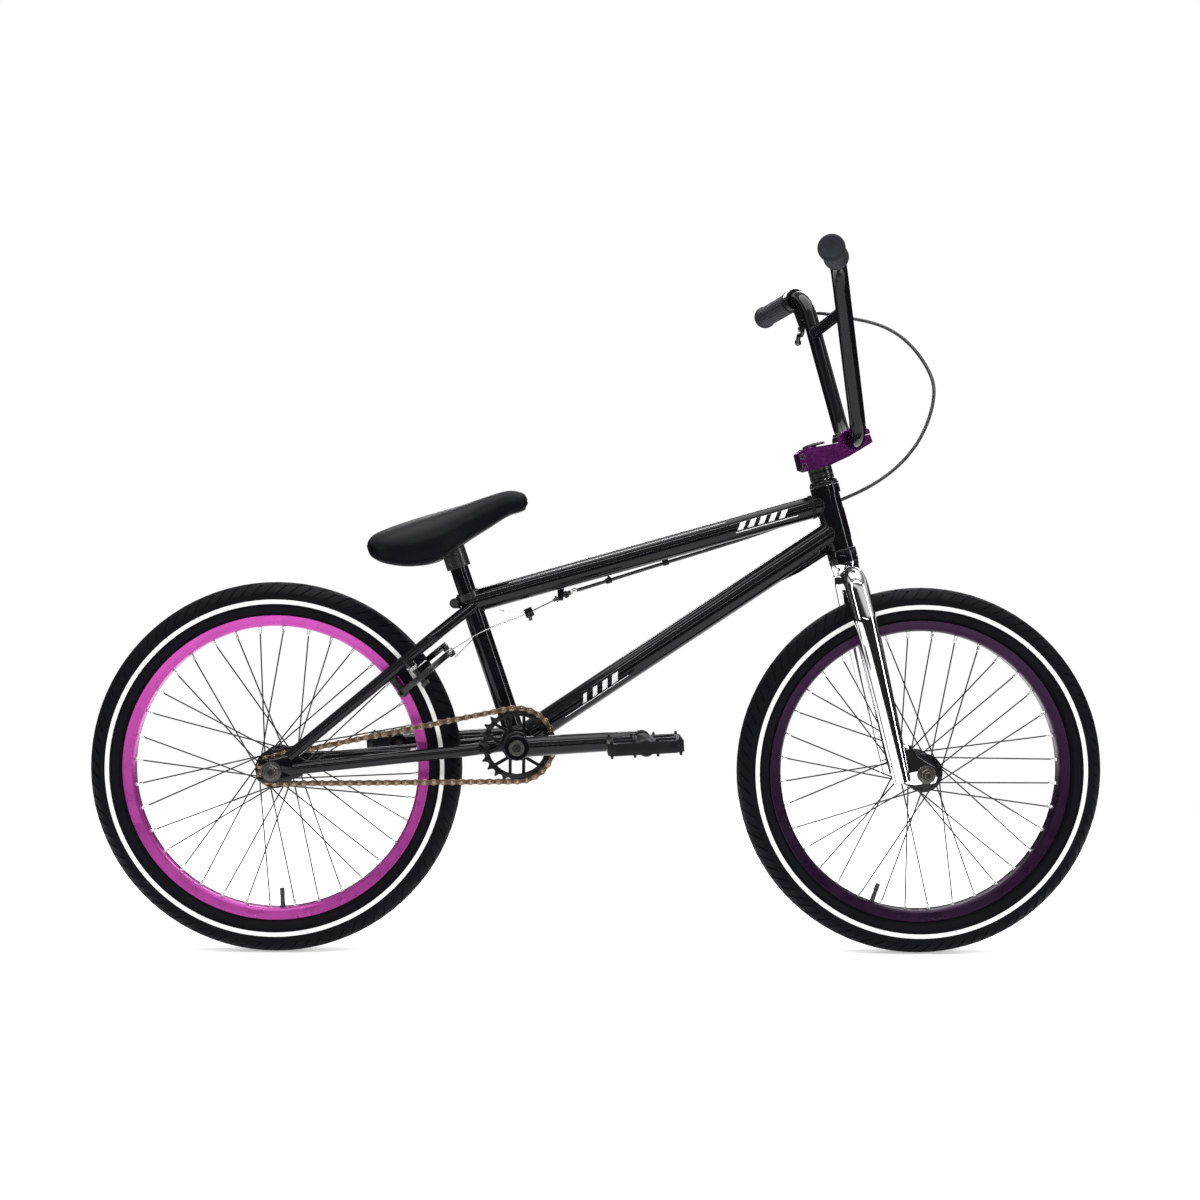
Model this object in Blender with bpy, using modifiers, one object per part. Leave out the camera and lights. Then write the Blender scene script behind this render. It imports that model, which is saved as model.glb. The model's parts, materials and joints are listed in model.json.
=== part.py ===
"""BMX bike: a hollow tube frame, turning fork and bars, laced wheels, cranks, pedals and a rear rim brake.

World frame: metres, +X forward, +Y to the rider's left, +Z up; the origin is on the ground
under the middle of the wheelbase. The drive side is at -Y.
"""

import math

import bmesh
import bpy
from mathutils import Matrix, Vector

# ---------------------------------------------------------------- driving dimensions
TYRE_RADIUS = 0.257
TYRE_HALF_WIDTH = 0.0275
WHEELBASE = 0.898
RIM_RADIUS = 0.2115
RIM_INNER_RADIUS = 0.196
RIM_HALF_WIDTH = 0.0155

BB_X = -0.1155
BB_Z = 0.294
SEAT_ANGLE = math.radians(71.0)
SEAT_TUBE_TOP_Z = 0.503
SEAT_TUBE_RADIUS = 0.0143
TOP_TUBE_RADIUS = 0.0159
DOWN_TUBE_RADIUS = 0.0175
STAY_RADIUS = 0.008
WALL = 0.0013
BB_SHELL_RADIUS = 0.0225
BB_SHELL_HALF = 0.034

HEAD_ANGLE = math.radians(74.5)
STEER_FOOT_X = 0.421
HEAD_LOW_Z = 0.548
HEAD_LENGTH = 0.111
HEAD_RADIUS = 0.0182
HEAD_CUP_RADIUS = 0.0205
STEERER_RADIUS = 0.0143

REAR_DROPOUT = 0.055
FRONT_DROPOUT = 0.050
REAR_AXLE_END = 0.073
FRONT_AXLE_END = 0.070
REAR_AXLE_RADIUS = 0.0070
FRONT_AXLE_RADIUS = 0.0050

CHAIN_PITCH = 0.0127
SPROCKET_TEETH = 25
DRIVER_TEETH = 9
CHAIN_LINE = 0.045
CRANK_LENGTH = 0.170
CRANK_RISE = math.radians(3.7)
CRANK_OFFSET = 0.0790
PEDAL_HALF_LENGTH = 0.050
PEDAL_HALF_WIDTH = 0.048

BAR_RADIUS = 0.0111
BAR_HALF = 0.343
BAR_END = (0.265, 0.932)
BAR_TOP = (0.301, 0.163, 0.944)
BAR_BASE = (0.349, 0.062, 0.718)
BAR_BEND = 0.055
CROSSBAR_Z = 0.884
GRIP_LENGTH = 0.132

GAP = 0.0003
FLAT_ANGLE = math.radians(0.2)
FINE = 16
COARSE = 8

HUB_Z = TYRE_RADIUS
REAR_HUB = Vector((-WHEELBASE / 2, 0, HUB_Z))
FRONT_HUB = Vector((WHEELBASE / 2, 0, HUB_Z))
BB = Vector((BB_X, 0, BB_Z))
SPROCKET_RADIUS = CHAIN_PITCH / (2 * math.sin(math.pi / SPROCKET_TEETH))
DRIVER_RADIUS = CHAIN_PITCH / (2 * math.sin(math.pi / DRIVER_TEETH))
STEER_UP = Vector((-math.cos(HEAD_ANGLE), 0, math.sin(HEAD_ANGLE)))
STEER_FOOT = Vector((STEER_FOOT_X, 0, HUB_Z))
SEAT_UP = Vector((-math.cos(SEAT_ANGLE), 0, math.sin(SEAT_ANGLE)))
Y_AXIS = Vector((0, 1, 0))


def on_steer(z):
    """Point of the steering axis at height z."""
    return STEER_FOOT + STEER_UP * ((z - HUB_Z) / STEER_UP.z)


def on_seat(z):
    """Point of the seat tube axis at height z."""
    return BB + SEAT_UP * ((z - BB_Z) / SEAT_UP.z)


HEAD_LOW = on_steer(HEAD_LOW_Z)
HEAD_HIGH = HEAD_LOW + STEER_UP * HEAD_LENGTH

# ---------------------------------------------------------------- scene and materials
for old in list(bpy.data.objects):
    bpy.data.objects.remove(old)

parts = bpy.data.collections.new("bmx_bike")
bpy.context.scene.collection.children.link(parts)


def material(name, color, roughness, metallic):
    made = bpy.data.materials.new(name)
    made.use_nodes = True
    shader = made.node_tree.nodes["Principled BSDF"]
    shader.inputs["Base Color"].default_value = (*color, 1)
    shader.inputs["Roughness"].default_value = roughness
    shader.inputs["Metallic"].default_value = metallic
    return made


GLOSS_BLACK = material("gloss_black_paint", (0.008, 0.008, 0.010), 0.12, 0.0)
CHROME = material("chrome", (0.80, 0.80, 0.82), 0.08, 1.0)
PURPLE = material("purple_anodised", (0.22, 0.02, 0.20), 0.25, 0.9)
MAGENTA = material("magenta_anodised", (0.45, 0.04, 0.38), 0.28, 0.9)
RUBBER = material("tyre_rubber", (0.012, 0.013, 0.017), 0.65, 0.0)
TUBE_RUBBER = material("butyl_rubber", (0.02, 0.02, 0.02), 0.7, 0.0)
PAD_RUBBER = material("pad_rubber", (0.020, 0.020, 0.020), 0.8, 0.0)
GRIP_RUBBER = material("grip_rubber", (0.025, 0.025, 0.028), 0.75, 0.0)
BLACK_STEEL = material("black_oxide_steel", (0.015, 0.015, 0.016), 0.35, 0.8)
STEEL = material("zinc_steel", (0.55, 0.55, 0.55), 0.3, 1.0)
CHAIN_BRONZE = material("bronze_chain_steel", (0.16, 0.10, 0.06), 0.35, 1.0)
BLACK_ALLOY = material("black_anodised_alloy", (0.012, 0.012, 0.014), 0.28, 0.7)
NYLON = material("black_nylon", (0.014, 0.014, 0.015), 0.5, 0.0)
SADDLE_COVER = material("saddle_cover", (0.012, 0.013, 0.018), 0.5, 0.0)
HOUSING = material("cable_housing", (0.012, 0.012, 0.012), 0.35, 0.0)


# ---------------------------------------------------------------- modelling tools
def placed(mesh, name="shape", link=True):
    made = bpy.data.objects.new(name, mesh)
    if link:
        parts.objects.link(made)
    return made


def evaluated_mesh(obj, outward):
    """Closed mesh of an object's evaluated shape, in world space; outward turns its faces out."""
    bpy.context.view_layer.update()
    graph = bpy.context.evaluated_depsgraph_get()
    mesh = bpy.data.meshes.new_from_object(obj.evaluated_get(graph), depsgraph=graph)
    mesh.transform(obj.matrix_world)
    bm = bmesh.new()
    bm.from_mesh(mesh)
    bmesh.ops.remove_doubles(bm, verts=bm.verts, dist=0.00001)
    bmesh.ops.dissolve_degenerate(bm, edges=bm.edges, dist=0.00001)
    if outward:
        bmesh.ops.recalc_face_normals(bm, faces=bm.faces)
    bm.to_mesh(mesh)
    bm.free()
    return mesh


def baked(obj, outward=True):
    """The object with its modifiers, curve and place turned into one plain mesh."""
    made = placed(evaluated_mesh(obj, outward))
    bpy.data.objects.remove(obj)
    return made


def between(start, end):
    """Placement whose +Z runs from start to end."""
    start = Vector(start)
    turn = Vector((0, 0, 1)).rotation_difference(Vector(end) - start)
    return Matrix.Translation(start) @ turn.to_matrix().to_4x4()


def rod(start, end, radius, end_radius=None, sides=FINE):
    """Round bar or cone frustum from start to end."""
    start, end = Vector(start), Vector(end)
    length = (end - start).length
    mesh = bpy.data.meshes.new("rod")
    bm = bmesh.new()
    bmesh.ops.create_cone(
        bm, cap_ends=True, segments=sides, radius1=radius,
        radius2=radius if end_radius is None else end_radius, depth=length,
    )
    bmesh.ops.translate(bm, verts=bm.verts, vec=(0, 0, length / 2))
    bmesh.ops.transform(bm, verts=bm.verts, matrix=between(start, end))
    bm.to_mesh(mesh)
    bm.free()
    return placed(mesh)


def block(centre, size, turn_y=0.0, bevel=0.0):
    """Box of the given size, turned about Y by turn_y, with optional rounded edges."""
    mesh = bpy.data.meshes.new("block")
    bm = bmesh.new()
    bmesh.ops.create_cube(bm, size=1)
    bmesh.ops.scale(bm, verts=bm.verts, vec=size)
    if bevel:
        bmesh.ops.bevel(bm, geom=bm.edges[:], offset=bevel, segments=1, affect="EDGES", profile=0.5)
    place = Matrix.Translation(Vector(centre)) @ Matrix.Rotation(turn_y, 4, "Y")
    bmesh.ops.transform(bm, verts=bm.verts, matrix=place)
    bm.to_mesh(mesh)
    bm.free()
    return placed(mesh)


def turned(profile, start, direction, steps=24, ring=False):
    """Solid of revolution: profile lists (radius, distance along the axis)."""
    mesh = bpy.data.meshes.new("profile")
    edges = [(i, i + 1) for i in range(len(profile) - 1)]
    if ring:
        edges.append((len(profile) - 1, 0))
    mesh.from_pydata([(radius, 0, height) for radius, height in profile], edges, [])
    obj = placed(mesh)
    obj.matrix_world = between(start, Vector(start) + Vector(direction))
    screw = obj.modifiers.new("turn", "SCREW")
    screw.axis = "Z"
    screw.angle = 2 * math.pi
    screw.steps = steps
    screw.render_steps = steps
    screw.use_merge_vertices = True
    screw.merge_threshold = 0.00001
    return baked(obj)


def swept(points, radius, resolution=4, radii=None):
    """Round tube along points; radii scales each point's radius."""
    curve = bpy.data.curves.new("sweep", "CURVE")
    curve.dimensions = "3D"
    curve.bevel_depth = radius
    curve.bevel_resolution = resolution
    curve.use_fill_caps = True
    spline = curve.splines.new("POLY")
    spline.points.add(len(points) - 1)
    for i, point in enumerate(points):
        spline.points[i].co = (*point, 1)
        spline.points[i].radius = radii[i] if radii else 1
    return baked(placed(curve))


def plate(outline, thickness, centre_y):
    """Flat plate in the XZ plane from its outline of (x, z) points."""
    curve = bpy.data.curves.new("outline", "CURVE")
    curve.dimensions = "2D"
    curve.fill_mode = "BOTH"
    curve.extrude = thickness / 2
    spline = curve.splines.new("POLY")
    spline.points.add(len(outline) - 1)
    for i, (x, z) in enumerate(outline):
        spline.points[i].co = (x, z, 0, 1)
    spline.use_cyclic_u = True
    obj = placed(curve)
    obj.matrix_world = Matrix.Translation((0, centre_y, 0)) @ Matrix.Rotation(math.pi / 2, 4, "X")
    return with_flat_faces_merged(baked(obj))


def combined(target, tools, operation):
    for tool in tools:
        step = target.modifiers.new("combine", "BOOLEAN")
        step.operation = operation
        step.object = tool
        step.solver = "EXACT"
        target = baked(target, outward=False)
        bpy.data.objects.remove(tool)
    return target


def union(target, *tools):
    return combined(target, tools, "UNION")


def cut(target, *tools):
    return combined(target, tools, "DIFFERENCE")


def joint_empty(name, place):
    empty = bpy.data.objects.new(name, None)
    empty.empty_display_size = 0.03
    empty.location = place
    parts.objects.link(empty)
    return empty


def with_flat_faces_merged(obj):
    bm = bmesh.new()
    bm.from_mesh(obj.data)
    bmesh.ops.dissolve_limit(bm, angle_limit=FLAT_ANGLE, verts=bm.verts, edges=bm.edges)
    bm.to_mesh(obj.data)
    bm.free()
    return obj


def finish(obj, name, mat, parent=None, merge_flat=True):
    """Name the piece, give it its material, shade it and hang it on its joint."""
    if merge_flat:
        with_flat_faces_merged(obj)
    obj.name = name
    obj.data.name = name
    obj.data.materials.clear()
    obj.data.materials.append(mat)
    obj.data.shade_smooth()
    obj.data.set_sharp_from_angle(angle=math.radians(35))
    if parent:
        bpy.context.view_layer.update()
        obj.parent = parent
        obj.matrix_parent_inverse = parent.matrix_world.inverted()
    return obj


def arc(centre, radius, start, end, count):
    """Points (x, z) on an arc; angles in radians."""
    steps = [start + (end - start) * i / (count - 1) for i in range(count)]
    return [(centre[0] + radius * math.cos(a), centre[1] + radius * math.sin(a)) for a in steps]


def rounded_path(corners, radius, count=5):
    """Polyline through 3D corners with each inner corner rounded by an arc."""
    corners = [Vector(c) for c in corners]
    path = [corners[0]]
    for before, corner, after in zip(corners, corners[1:], corners[2:]):
        to_before = (before - corner).normalized()
        to_after = (after - corner).normalized()
        half = to_before.angle(to_after) / 2
        reach = radius / math.tan(half)
        middle = corner + (to_before + to_after).normalized() * (radius / math.sin(half))
        first = corner + to_before * reach - middle
        last = corner + to_after * reach - middle
        sweep = first.angle(last)
        for i in range(count):
            t = i / (count - 1)
            weight_a = math.sin((1 - t) * sweep) / math.sin(sweep)
            weight_b = math.sin(t * sweep) / math.sin(sweep)
            path.append(middle + first * weight_a + last * weight_b)
    path.append(corners[-1])
    return path


def smooth_path(points, per_span):
    """Catmull-Rom curve through the points."""
    points = [Vector(p) for p in points]
    ends = [points[0] * 2 - points[1]] + points + [points[-1] * 2 - points[-2]]
    path = []
    for a, b, c, d in zip(ends, ends[1:], ends[2:], ends[3:]):
        for i in range(per_span):
            t = i / per_span
            path.append(
                0.5 * ((2 * b) + (c - a) * t + (2 * a - 5 * b + 4 * c - d) * t * t
                       + (3 * b - a - 3 * c + d) * t * t * t)
            )
    path.append(points[-1])
    return path


def pair(name):
    return f"{name}_right", f"{name}_left"


# ---------------------------------------------------------------- joint axes
steering_axis = joint_empty("steering_axis", HEAD_LOW)
front_wheel_axis = joint_empty("front_wheel_axis", FRONT_HUB)
rear_wheel_axis = joint_empty("rear_wheel_axis", REAR_HUB)
driver_axis = joint_empty("driver_axis", REAR_HUB)
crank_axis = joint_empty("crank_axis", BB)
seat_slide = joint_empty("seat_slide", on_seat(SEAT_TUBE_TOP_Z))


# ---------------------------------------------------------------- frame
TOP_TUBE_REAR = Vector((-0.1837, 0, 0.4875))
TOP_TUBE_FRONT = Vector((0.3190, 0, 0.6328))
DOWN_TUBE_FRONT = Vector((0.3180, 0, 0.5874))
SEAT_STAY_TOP = Vector((-0.1765, -0.0075, 0.4855))
SEAT_STAY_BEND = Vector((-0.2320, -0.0370, 0.4405))
SEAT_STAY_END = Vector((-0.4260, -0.0592, 0.2765))
CHAIN_STAY_START = Vector((-0.1180, -0.0240, 0.2930))
CHAIN_STAY_BEND = Vector((-0.1850, -0.0380, 0.2850))
CHAIN_STAY_END = Vector((-0.4200, -0.0592, 0.2605))
STAY_DIRECTION = Vector((0.765, 0, 0.644)).normalized()
BRAKE_FORWARD = Vector((0.644, 0, -0.765)).normalized()


def brake_point(along, forward, side):
    """Point by its distance from the rear hub along the seat stay, ahead of it and sideways."""
    return REAR_HUB + STAY_DIRECTION * along + BRAKE_FORWARD * forward + Y_AXIS * side


PIVOT_ALONG = 0.236
PIVOT_SIDE = 0.044
PIVOT_FOOT = 0.010
PIVOT_END = 0.044
CLAMP_BOLT = on_seat(SEAT_TUBE_TOP_Z - 0.010) + Vector((-0.0205, 0, -0.0065))
CABLE_STOP = Vector((-0.0570, 0, 0.4965))
WIRE_DIRECTION = Vector((0.90, 0, 0.4359)).normalized()
DROPOUT_THICK = 0.006


def dropout_outline():
    """Rear dropout: a rounded plate with a tail towards each stay and an open axle slot."""
    x, z = REAR_HUB.x, REAR_HUB.z
    return [
        (x - 0.019, z + 0.0075), (x - 0.012, z + 0.0165), (x + 0.006, z + 0.0190),
        (x + 0.030, z + 0.0260), (x + 0.040, z + 0.0140), (x + 0.042, z - 0.0060),
        (x + 0.020, z - 0.0130), (x - 0.004, z - 0.0165), (x - 0.019, z - 0.0125),
        (x - 0.021, z - 0.0077), (x + 0.0020, z - 0.0077), (x + 0.0060, z - 0.0052), (x + 0.0078, z),
        (x + 0.0060, z + 0.0052), (x + 0.0020, z + 0.0077),
    ]


def on_side(side, *points):
    """Drive-side points moved to the given side."""
    return [(p.x, -p.y * side, p.z) for p in points]


def side_members(side):
    """Stays, dropout and brake boss of one side; side is -1 on the drive side."""
    members = [
        swept(on_side(side, SEAT_STAY_TOP, SEAT_STAY_BEND, SEAT_STAY_END), STAY_RADIUS),
        swept(on_side(side, CHAIN_STAY_START, CHAIN_STAY_BEND, CHAIN_STAY_END), STAY_RADIUS + 0.0005),
        plate(dropout_outline(), DROPOUT_THICK, side * (REAR_DROPOUT + DROPOUT_THICK / 2)),
        rod(brake_point(PIVOT_ALONG, -0.002, side * PIVOT_SIDE),
            brake_point(PIVOT_ALONG, PIVOT_FOOT, side * PIVOT_SIDE), 0.0075, sides=COARSE),
    ]
    return members


def side_bores(side):
    """Hollow of each stay, stopping short of the dropout."""
    bore = STAY_RADIUS - WALL
    seat_end = SEAT_STAY_BEND.lerp(SEAT_STAY_END, 0.95)
    chain_end = CHAIN_STAY_BEND.lerp(CHAIN_STAY_END, 0.95)
    return [
        swept(on_side(side, SEAT_STAY_TOP, SEAT_STAY_BEND, seat_end), bore),
        swept(on_side(side, CHAIN_STAY_START, CHAIN_STAY_BEND, chain_end), bore + 0.0005),
    ]


def build_frame():
    frame = rod(HEAD_LOW, HEAD_HIGH, HEAD_RADIUS)
    frame = union(frame, rod(HEAD_LOW, HEAD_LOW + STEER_UP * 0.019, HEAD_CUP_RADIUS))
    frame = union(frame, rod(HEAD_HIGH - STEER_UP * 0.012, HEAD_HIGH, HEAD_CUP_RADIUS))
    frame = union(frame, rod(TOP_TUBE_REAR, TOP_TUBE_FRONT, TOP_TUBE_RADIUS))
    frame = union(frame, rod(BB, DOWN_TUBE_FRONT, DOWN_TUBE_RADIUS))
    frame = union(frame, rod(BB, on_seat(SEAT_TUBE_TOP_Z), SEAT_TUBE_RADIUS))
    shell_start, shell_end = BB - Y_AXIS * BB_SHELL_HALF, BB + Y_AXIS * BB_SHELL_HALF
    frame = union(frame, rod(shell_start, shell_end, BB_SHELL_RADIUS))
    for side in (-1, 1):
        frame = union(frame, *side_members(side))
    lug = block(CLAMP_BOLT + Vector((0.006, 0, 0)), (0.024, 0.018, 0.014), bevel=0.002)
    stop = block(CABLE_STOP + Vector((0, 0, 0.006)), (0.004, 0.008, 0.024))
    gusset_turn = math.atan2(DOWN_TUBE_FRONT.z - BB_Z, DOWN_TUBE_FRONT.x - BB_X)
    gusset_at = BB.lerp(DOWN_TUBE_FRONT, 0.925) + Vector((0.010, 0, -0.0155))
    gusset = block(gusset_at, (0.060, 0.012, 0.008), turn_y=-gusset_turn, bevel=0.001)
    frame = union(frame, lug, stop, gusset)

    seat_bore_low = on_seat(BB_Z + 0.010)
    seat_bore_high = on_seat(SEAT_TUBE_TOP_Z + 0.010)
    frame = cut(
        frame,
        rod(TOP_TUBE_REAR.lerp(TOP_TUBE_FRONT, 0.007), TOP_TUBE_REAR.lerp(TOP_TUBE_FRONT, 0.993),
            TOP_TUBE_RADIUS - WALL),
        rod(BB.lerp(DOWN_TUBE_FRONT, 0.007), BB.lerp(DOWN_TUBE_FRONT, 0.993), DOWN_TUBE_RADIUS - WALL),
        rod(seat_bore_low, seat_bore_high, SEAT_TUBE_RADIUS - WALL),
    )
    for side in (-1, 1):
        frame = cut(frame, *side_bores(side))
    frame = cut(
        frame,
        rod(HEAD_LOW - STEER_UP * 0.01, HEAD_HIGH + STEER_UP * 0.01, 0.0160),
        rod(HEAD_LOW - STEER_UP * 0.01, HEAD_LOW + STEER_UP * 0.0085, 0.0179),
        rod(HEAD_HIGH - STEER_UP * 0.0085, HEAD_HIGH + STEER_UP * 0.01, 0.0179),
        rod(shell_start - Y_AXIS * 0.01, shell_end + Y_AXIS * 0.01, 0.0206),
        rod(CLAMP_BOLT - Y_AXIS * 0.02, CLAMP_BOLT + Y_AXIS * 0.02, 0.0036, sides=COARSE),
        block(CLAMP_BOLT + Vector((0.002, 0, 0.002)), (0.030, 0.0022, 0.040)),
        rod(CABLE_STOP - WIRE_DIRECTION * 0.01, CABLE_STOP + WIRE_DIRECTION * 0.01, 0.0028, sides=COARSE),
    )
    finish(frame, "frame", GLOSS_BLACK, merge_flat=False)


def ring_between(start, end, inner, outer, steps=FINE):
    length = (Vector(end) - Vector(start)).length
    return turned(
        [(inner, 0), (outer, 0), (outer, length), (inner, length)],
        start, Vector(end) - Vector(start), steps, ring=True,
    )


def build_frame_fittings():
    finish(ring_between(HEAD_LOW + STEER_UP * 0.0003, HEAD_LOW + STEER_UP * 0.0080, 0.0147, 0.0176),
           "headset_bearing_lower", BLACK_STEEL)
    finish(ring_between(HEAD_HIGH - STEER_UP * 0.0080, HEAD_HIGH - STEER_UP * 0.0003, 0.0147, 0.0176),
           "headset_bearing_upper", BLACK_STEEL)
    for name, side in zip(pair("bottom_bracket_bearing"), (-1, 1)):
        outer = BB + Y_AXIS * side * (BB_SHELL_HALF - 0.0005)
        inner = BB + Y_AXIS * side * (BB_SHELL_HALF - 0.0105)
        finish(ring_between(inner, outer, 0.0099, 0.0202), name, BLACK_STEEL)
    bolt = union(
        rod(CLAMP_BOLT - Y_AXIS * 0.0135, CLAMP_BOLT + Y_AXIS * 0.0120, 0.0032, sides=COARSE),
        rod(CLAMP_BOLT - Y_AXIS * 0.0140, CLAMP_BOLT - Y_AXIS * 0.0093, 0.0060, sides=COARSE),
        rod(CLAMP_BOLT + Y_AXIS * 0.0093, CLAMP_BOLT + Y_AXIS * 0.0130, 0.0055, sides=6),
    )
    finish(bolt, "seat_clamp_bolt", BLACK_STEEL)
    for name, side in zip(pair("brake_pivot_bolt"), (-1, 1)):
        foot = brake_point(PIVOT_ALONG, PIVOT_FOOT + GAP, side * PIVOT_SIDE)
        head = brake_point(PIVOT_ALONG, PIVOT_END - 0.005, side * PIVOT_SIDE)
        tip = brake_point(PIVOT_ALONG, PIVOT_END, side * PIVOT_SIDE)
        pin = union(rod(foot, tip, 0.0035, sides=COARSE), rod(head, tip, 0.0062, sides=COARSE))
        finish(pin, name, BLACK_STEEL)


def build_rear_axle():
    end = Y_AXIS * REAR_AXLE_END
    axle = rod(REAR_HUB - end, REAR_HUB + end, REAR_AXLE_RADIUS, sides=COARSE)
    for side in (-1, 1):
        face = REAR_DROPOUT + DROPOUT_THICK + GAP
        washer = REAR_HUB + Y_AXIS * side * face
        axle = union(
            axle,
            rod(REAR_HUB + Y_AXIS * side * (REAR_DROPOUT - 0.0052),
                REAR_HUB + Y_AXIS * side * (REAR_DROPOUT - GAP), 0.0105, sides=COARSE),
            rod(washer, washer + Y_AXIS * side * 0.0018, 0.0135, sides=COARSE),
            rod(washer + Y_AXIS * side * 0.0018, washer + Y_AXIS * side * 0.0095, 0.0110, sides=6),
        )
    finish(axle, "rear_axle", BLACK_STEEL)


# ---------------------------------------------------------------- chain drive
def loop_outline(offset, wheel_steps=15):
    """Closed belt line round sprocket and driver, moved outward by offset."""
    big, small = SPROCKET_RADIUS + offset, DRIVER_RADIUS + offset
    span = Vector((BB_X - REAR_HUB.x, BB_Z - REAR_HUB.z))
    tilt = math.atan2(span.y, span.x)
    lean = math.asin((SPROCKET_RADIUS - DRIVER_RADIUS) / span.length)
    top = tilt + math.pi / 2 + lean
    low = tilt - math.pi / 2 - lean
    front = arc((BB_X, BB_Z), big, low, top, wheel_steps)
    rear = arc((REAR_HUB.x, REAR_HUB.z), small, top, low + 2 * math.pi, 9)
    return front + rear


def build_chain():
    chain = plate(loop_outline(0.0042), 0.0074, -CHAIN_LINE)
    chain = cut(
        chain,
        plate(loop_outline(-0.0042), 0.012, -CHAIN_LINE),
        plate(loop_outline(0.0014), 0.0040, -CHAIN_LINE),
    )
    finish(chain, "chain", CHAIN_BRONZE)


def toothed_outline(centre, teeth, pitch_radius, tip, root):
    points = []
    for i in range(teeth):
        for step, radius in ((0.0, root), (0.35, tip), (0.65, tip)):
            angle = 2 * math.pi * (i + step) / teeth
            points.append((centre.x + (pitch_radius + radius) * math.cos(angle),
                           centre.z + (pitch_radius + radius) * math.sin(angle)))
    return points


SPROCKET_THICK = 0.0030
SPOKE_WINDOWS = 6
SQUARE_WINDOW = [(0.0205, -0.0072), (0.0395, -0.0072), (0.0402, 0.0), (0.0395, 0.0072), (0.0205, 0.0072)]
CORNER_WINDOW = [(0.0195, 0.0113), (0.0385, 0.0113), (0.0348, 0.0201), (0.0291, 0.0277)]


def build_sprocket():
    ring = plate(toothed_outline(BB, SPROCKET_TEETH, SPROCKET_RADIUS, 0.0008, -0.0046),
                 SPROCKET_THICK, -CHAIN_LINE)
    windows = []
    for i in range(SPOKE_WINDOWS):
        angle = -math.pi / 2 + 2 * math.pi * i / SPOKE_WINDOWS
        out = (math.cos(angle), math.sin(angle))
        for shape in (SQUARE_WINDOW, CORNER_WINDOW):
            outline = [(BB_X + r * out[0] - t * out[1], BB_Z + r * out[1] + t * out[0]) for r, t in shape]
            windows.append(plate(outline, 0.01, -CHAIN_LINE))
    ring = cut(ring, *windows)
    boss_end = -CHAIN_LINE - 0.0060
    ring = union(ring, rod(BB + Y_AXIS * (-CHAIN_LINE + 0.0040), BB + Y_AXIS * boss_end, 0.0185))
    ring = cut(ring, rod(BB - Y_AXIS * 0.08, BB - Y_AXIS * 0.03, 0.0098))
    finish(ring, "sprocket", BLACK_ALLOY, crank_axis)


def build_driver():
    cog = plate(toothed_outline(REAR_HUB, DRIVER_TEETH, DRIVER_RADIUS, 0.0006, -0.0040),
                SPROCKET_THICK, -CHAIN_LINE)
    cog = union(cog, rod(REAR_HUB - Y_AXIS * (CHAIN_LINE + 0.0042), REAR_HUB - Y_AXIS * 0.0365, 0.0135))
    cog = cut(cog, rod(REAR_HUB - Y_AXIS * 0.06, REAR_HUB - Y_AXIS * 0.03, 0.0075))
    finish(cog, "driver", BLACK_STEEL, driver_axis)


# ---------------------------------------------------------------- cranks and pedals
SPINDLE_RADIUS = 0.0095
ARM_INNER = 0.0665
ARM_BOSS_HALF = 0.0125


def crank_direction(side):
    """Unit vector from the bottom bracket to the pedal; the drive-side arm points forward."""
    forward = Vector((math.cos(CRANK_RISE), 0, math.sin(CRANK_RISE)))
    return forward if side < 0 else -forward


def build_cranks():
    spindle = rod(BB - Y_AXIS * 0.0905, BB + Y_AXIS * 0.0905, SPINDLE_RADIUS)
    for side in (-1, 1):
        face = Y_AXIS * side * 0.0918
        spindle = union(spindle, rod(BB + face, BB + face + Y_AXIS * side * 0.0035, 0.0110, 0.0100))
        out = Y_AXIS * side
        spindle = union(spindle, rod(BB + out * 0.090, BB + out * 0.092, 0.0060, sides=COARSE))
    spindle = cut(spindle, rod(BB - Y_AXIS * 0.12, BB + Y_AXIS * 0.12, 0.0045, sides=COARSE))
    finish(spindle, "crank_spindle", BLACK_STEEL, crank_axis)
    for name, side in zip(pair("crank_arm"), (-1, 1)):
        centre = BB + Y_AXIS * side * CRANK_OFFSET
        pedal = centre + crank_direction(side) * CRANK_LENGTH
        inner, outer = Y_AXIS * side * -ARM_BOSS_HALF, Y_AXIS * side * ARM_BOSS_HALF
        arm = rod(centre, pedal, 0.0142, 0.0128)
        arm = union(arm, rod(centre + inner, centre + outer, 0.0172))
        arm = union(arm, rod(pedal + inner * 0.85, pedal + outer * 0.85, 0.0128))
        arm = cut(
            arm,
            rod(centre, pedal - crank_direction(side) * 0.018, 0.0122, 0.0110),
            rod(centre + inner * 1.5, centre + outer * 1.5, SPINDLE_RADIUS + GAP),
            rod(pedal + inner * 1.5, pedal + outer * 1.5, 0.0068, sides=COARSE),
            rod(centre + outer, centre + outer * 1.5, 0.0125),
        )
        finish(arm, name, GLOSS_BLACK, crank_axis)


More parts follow.
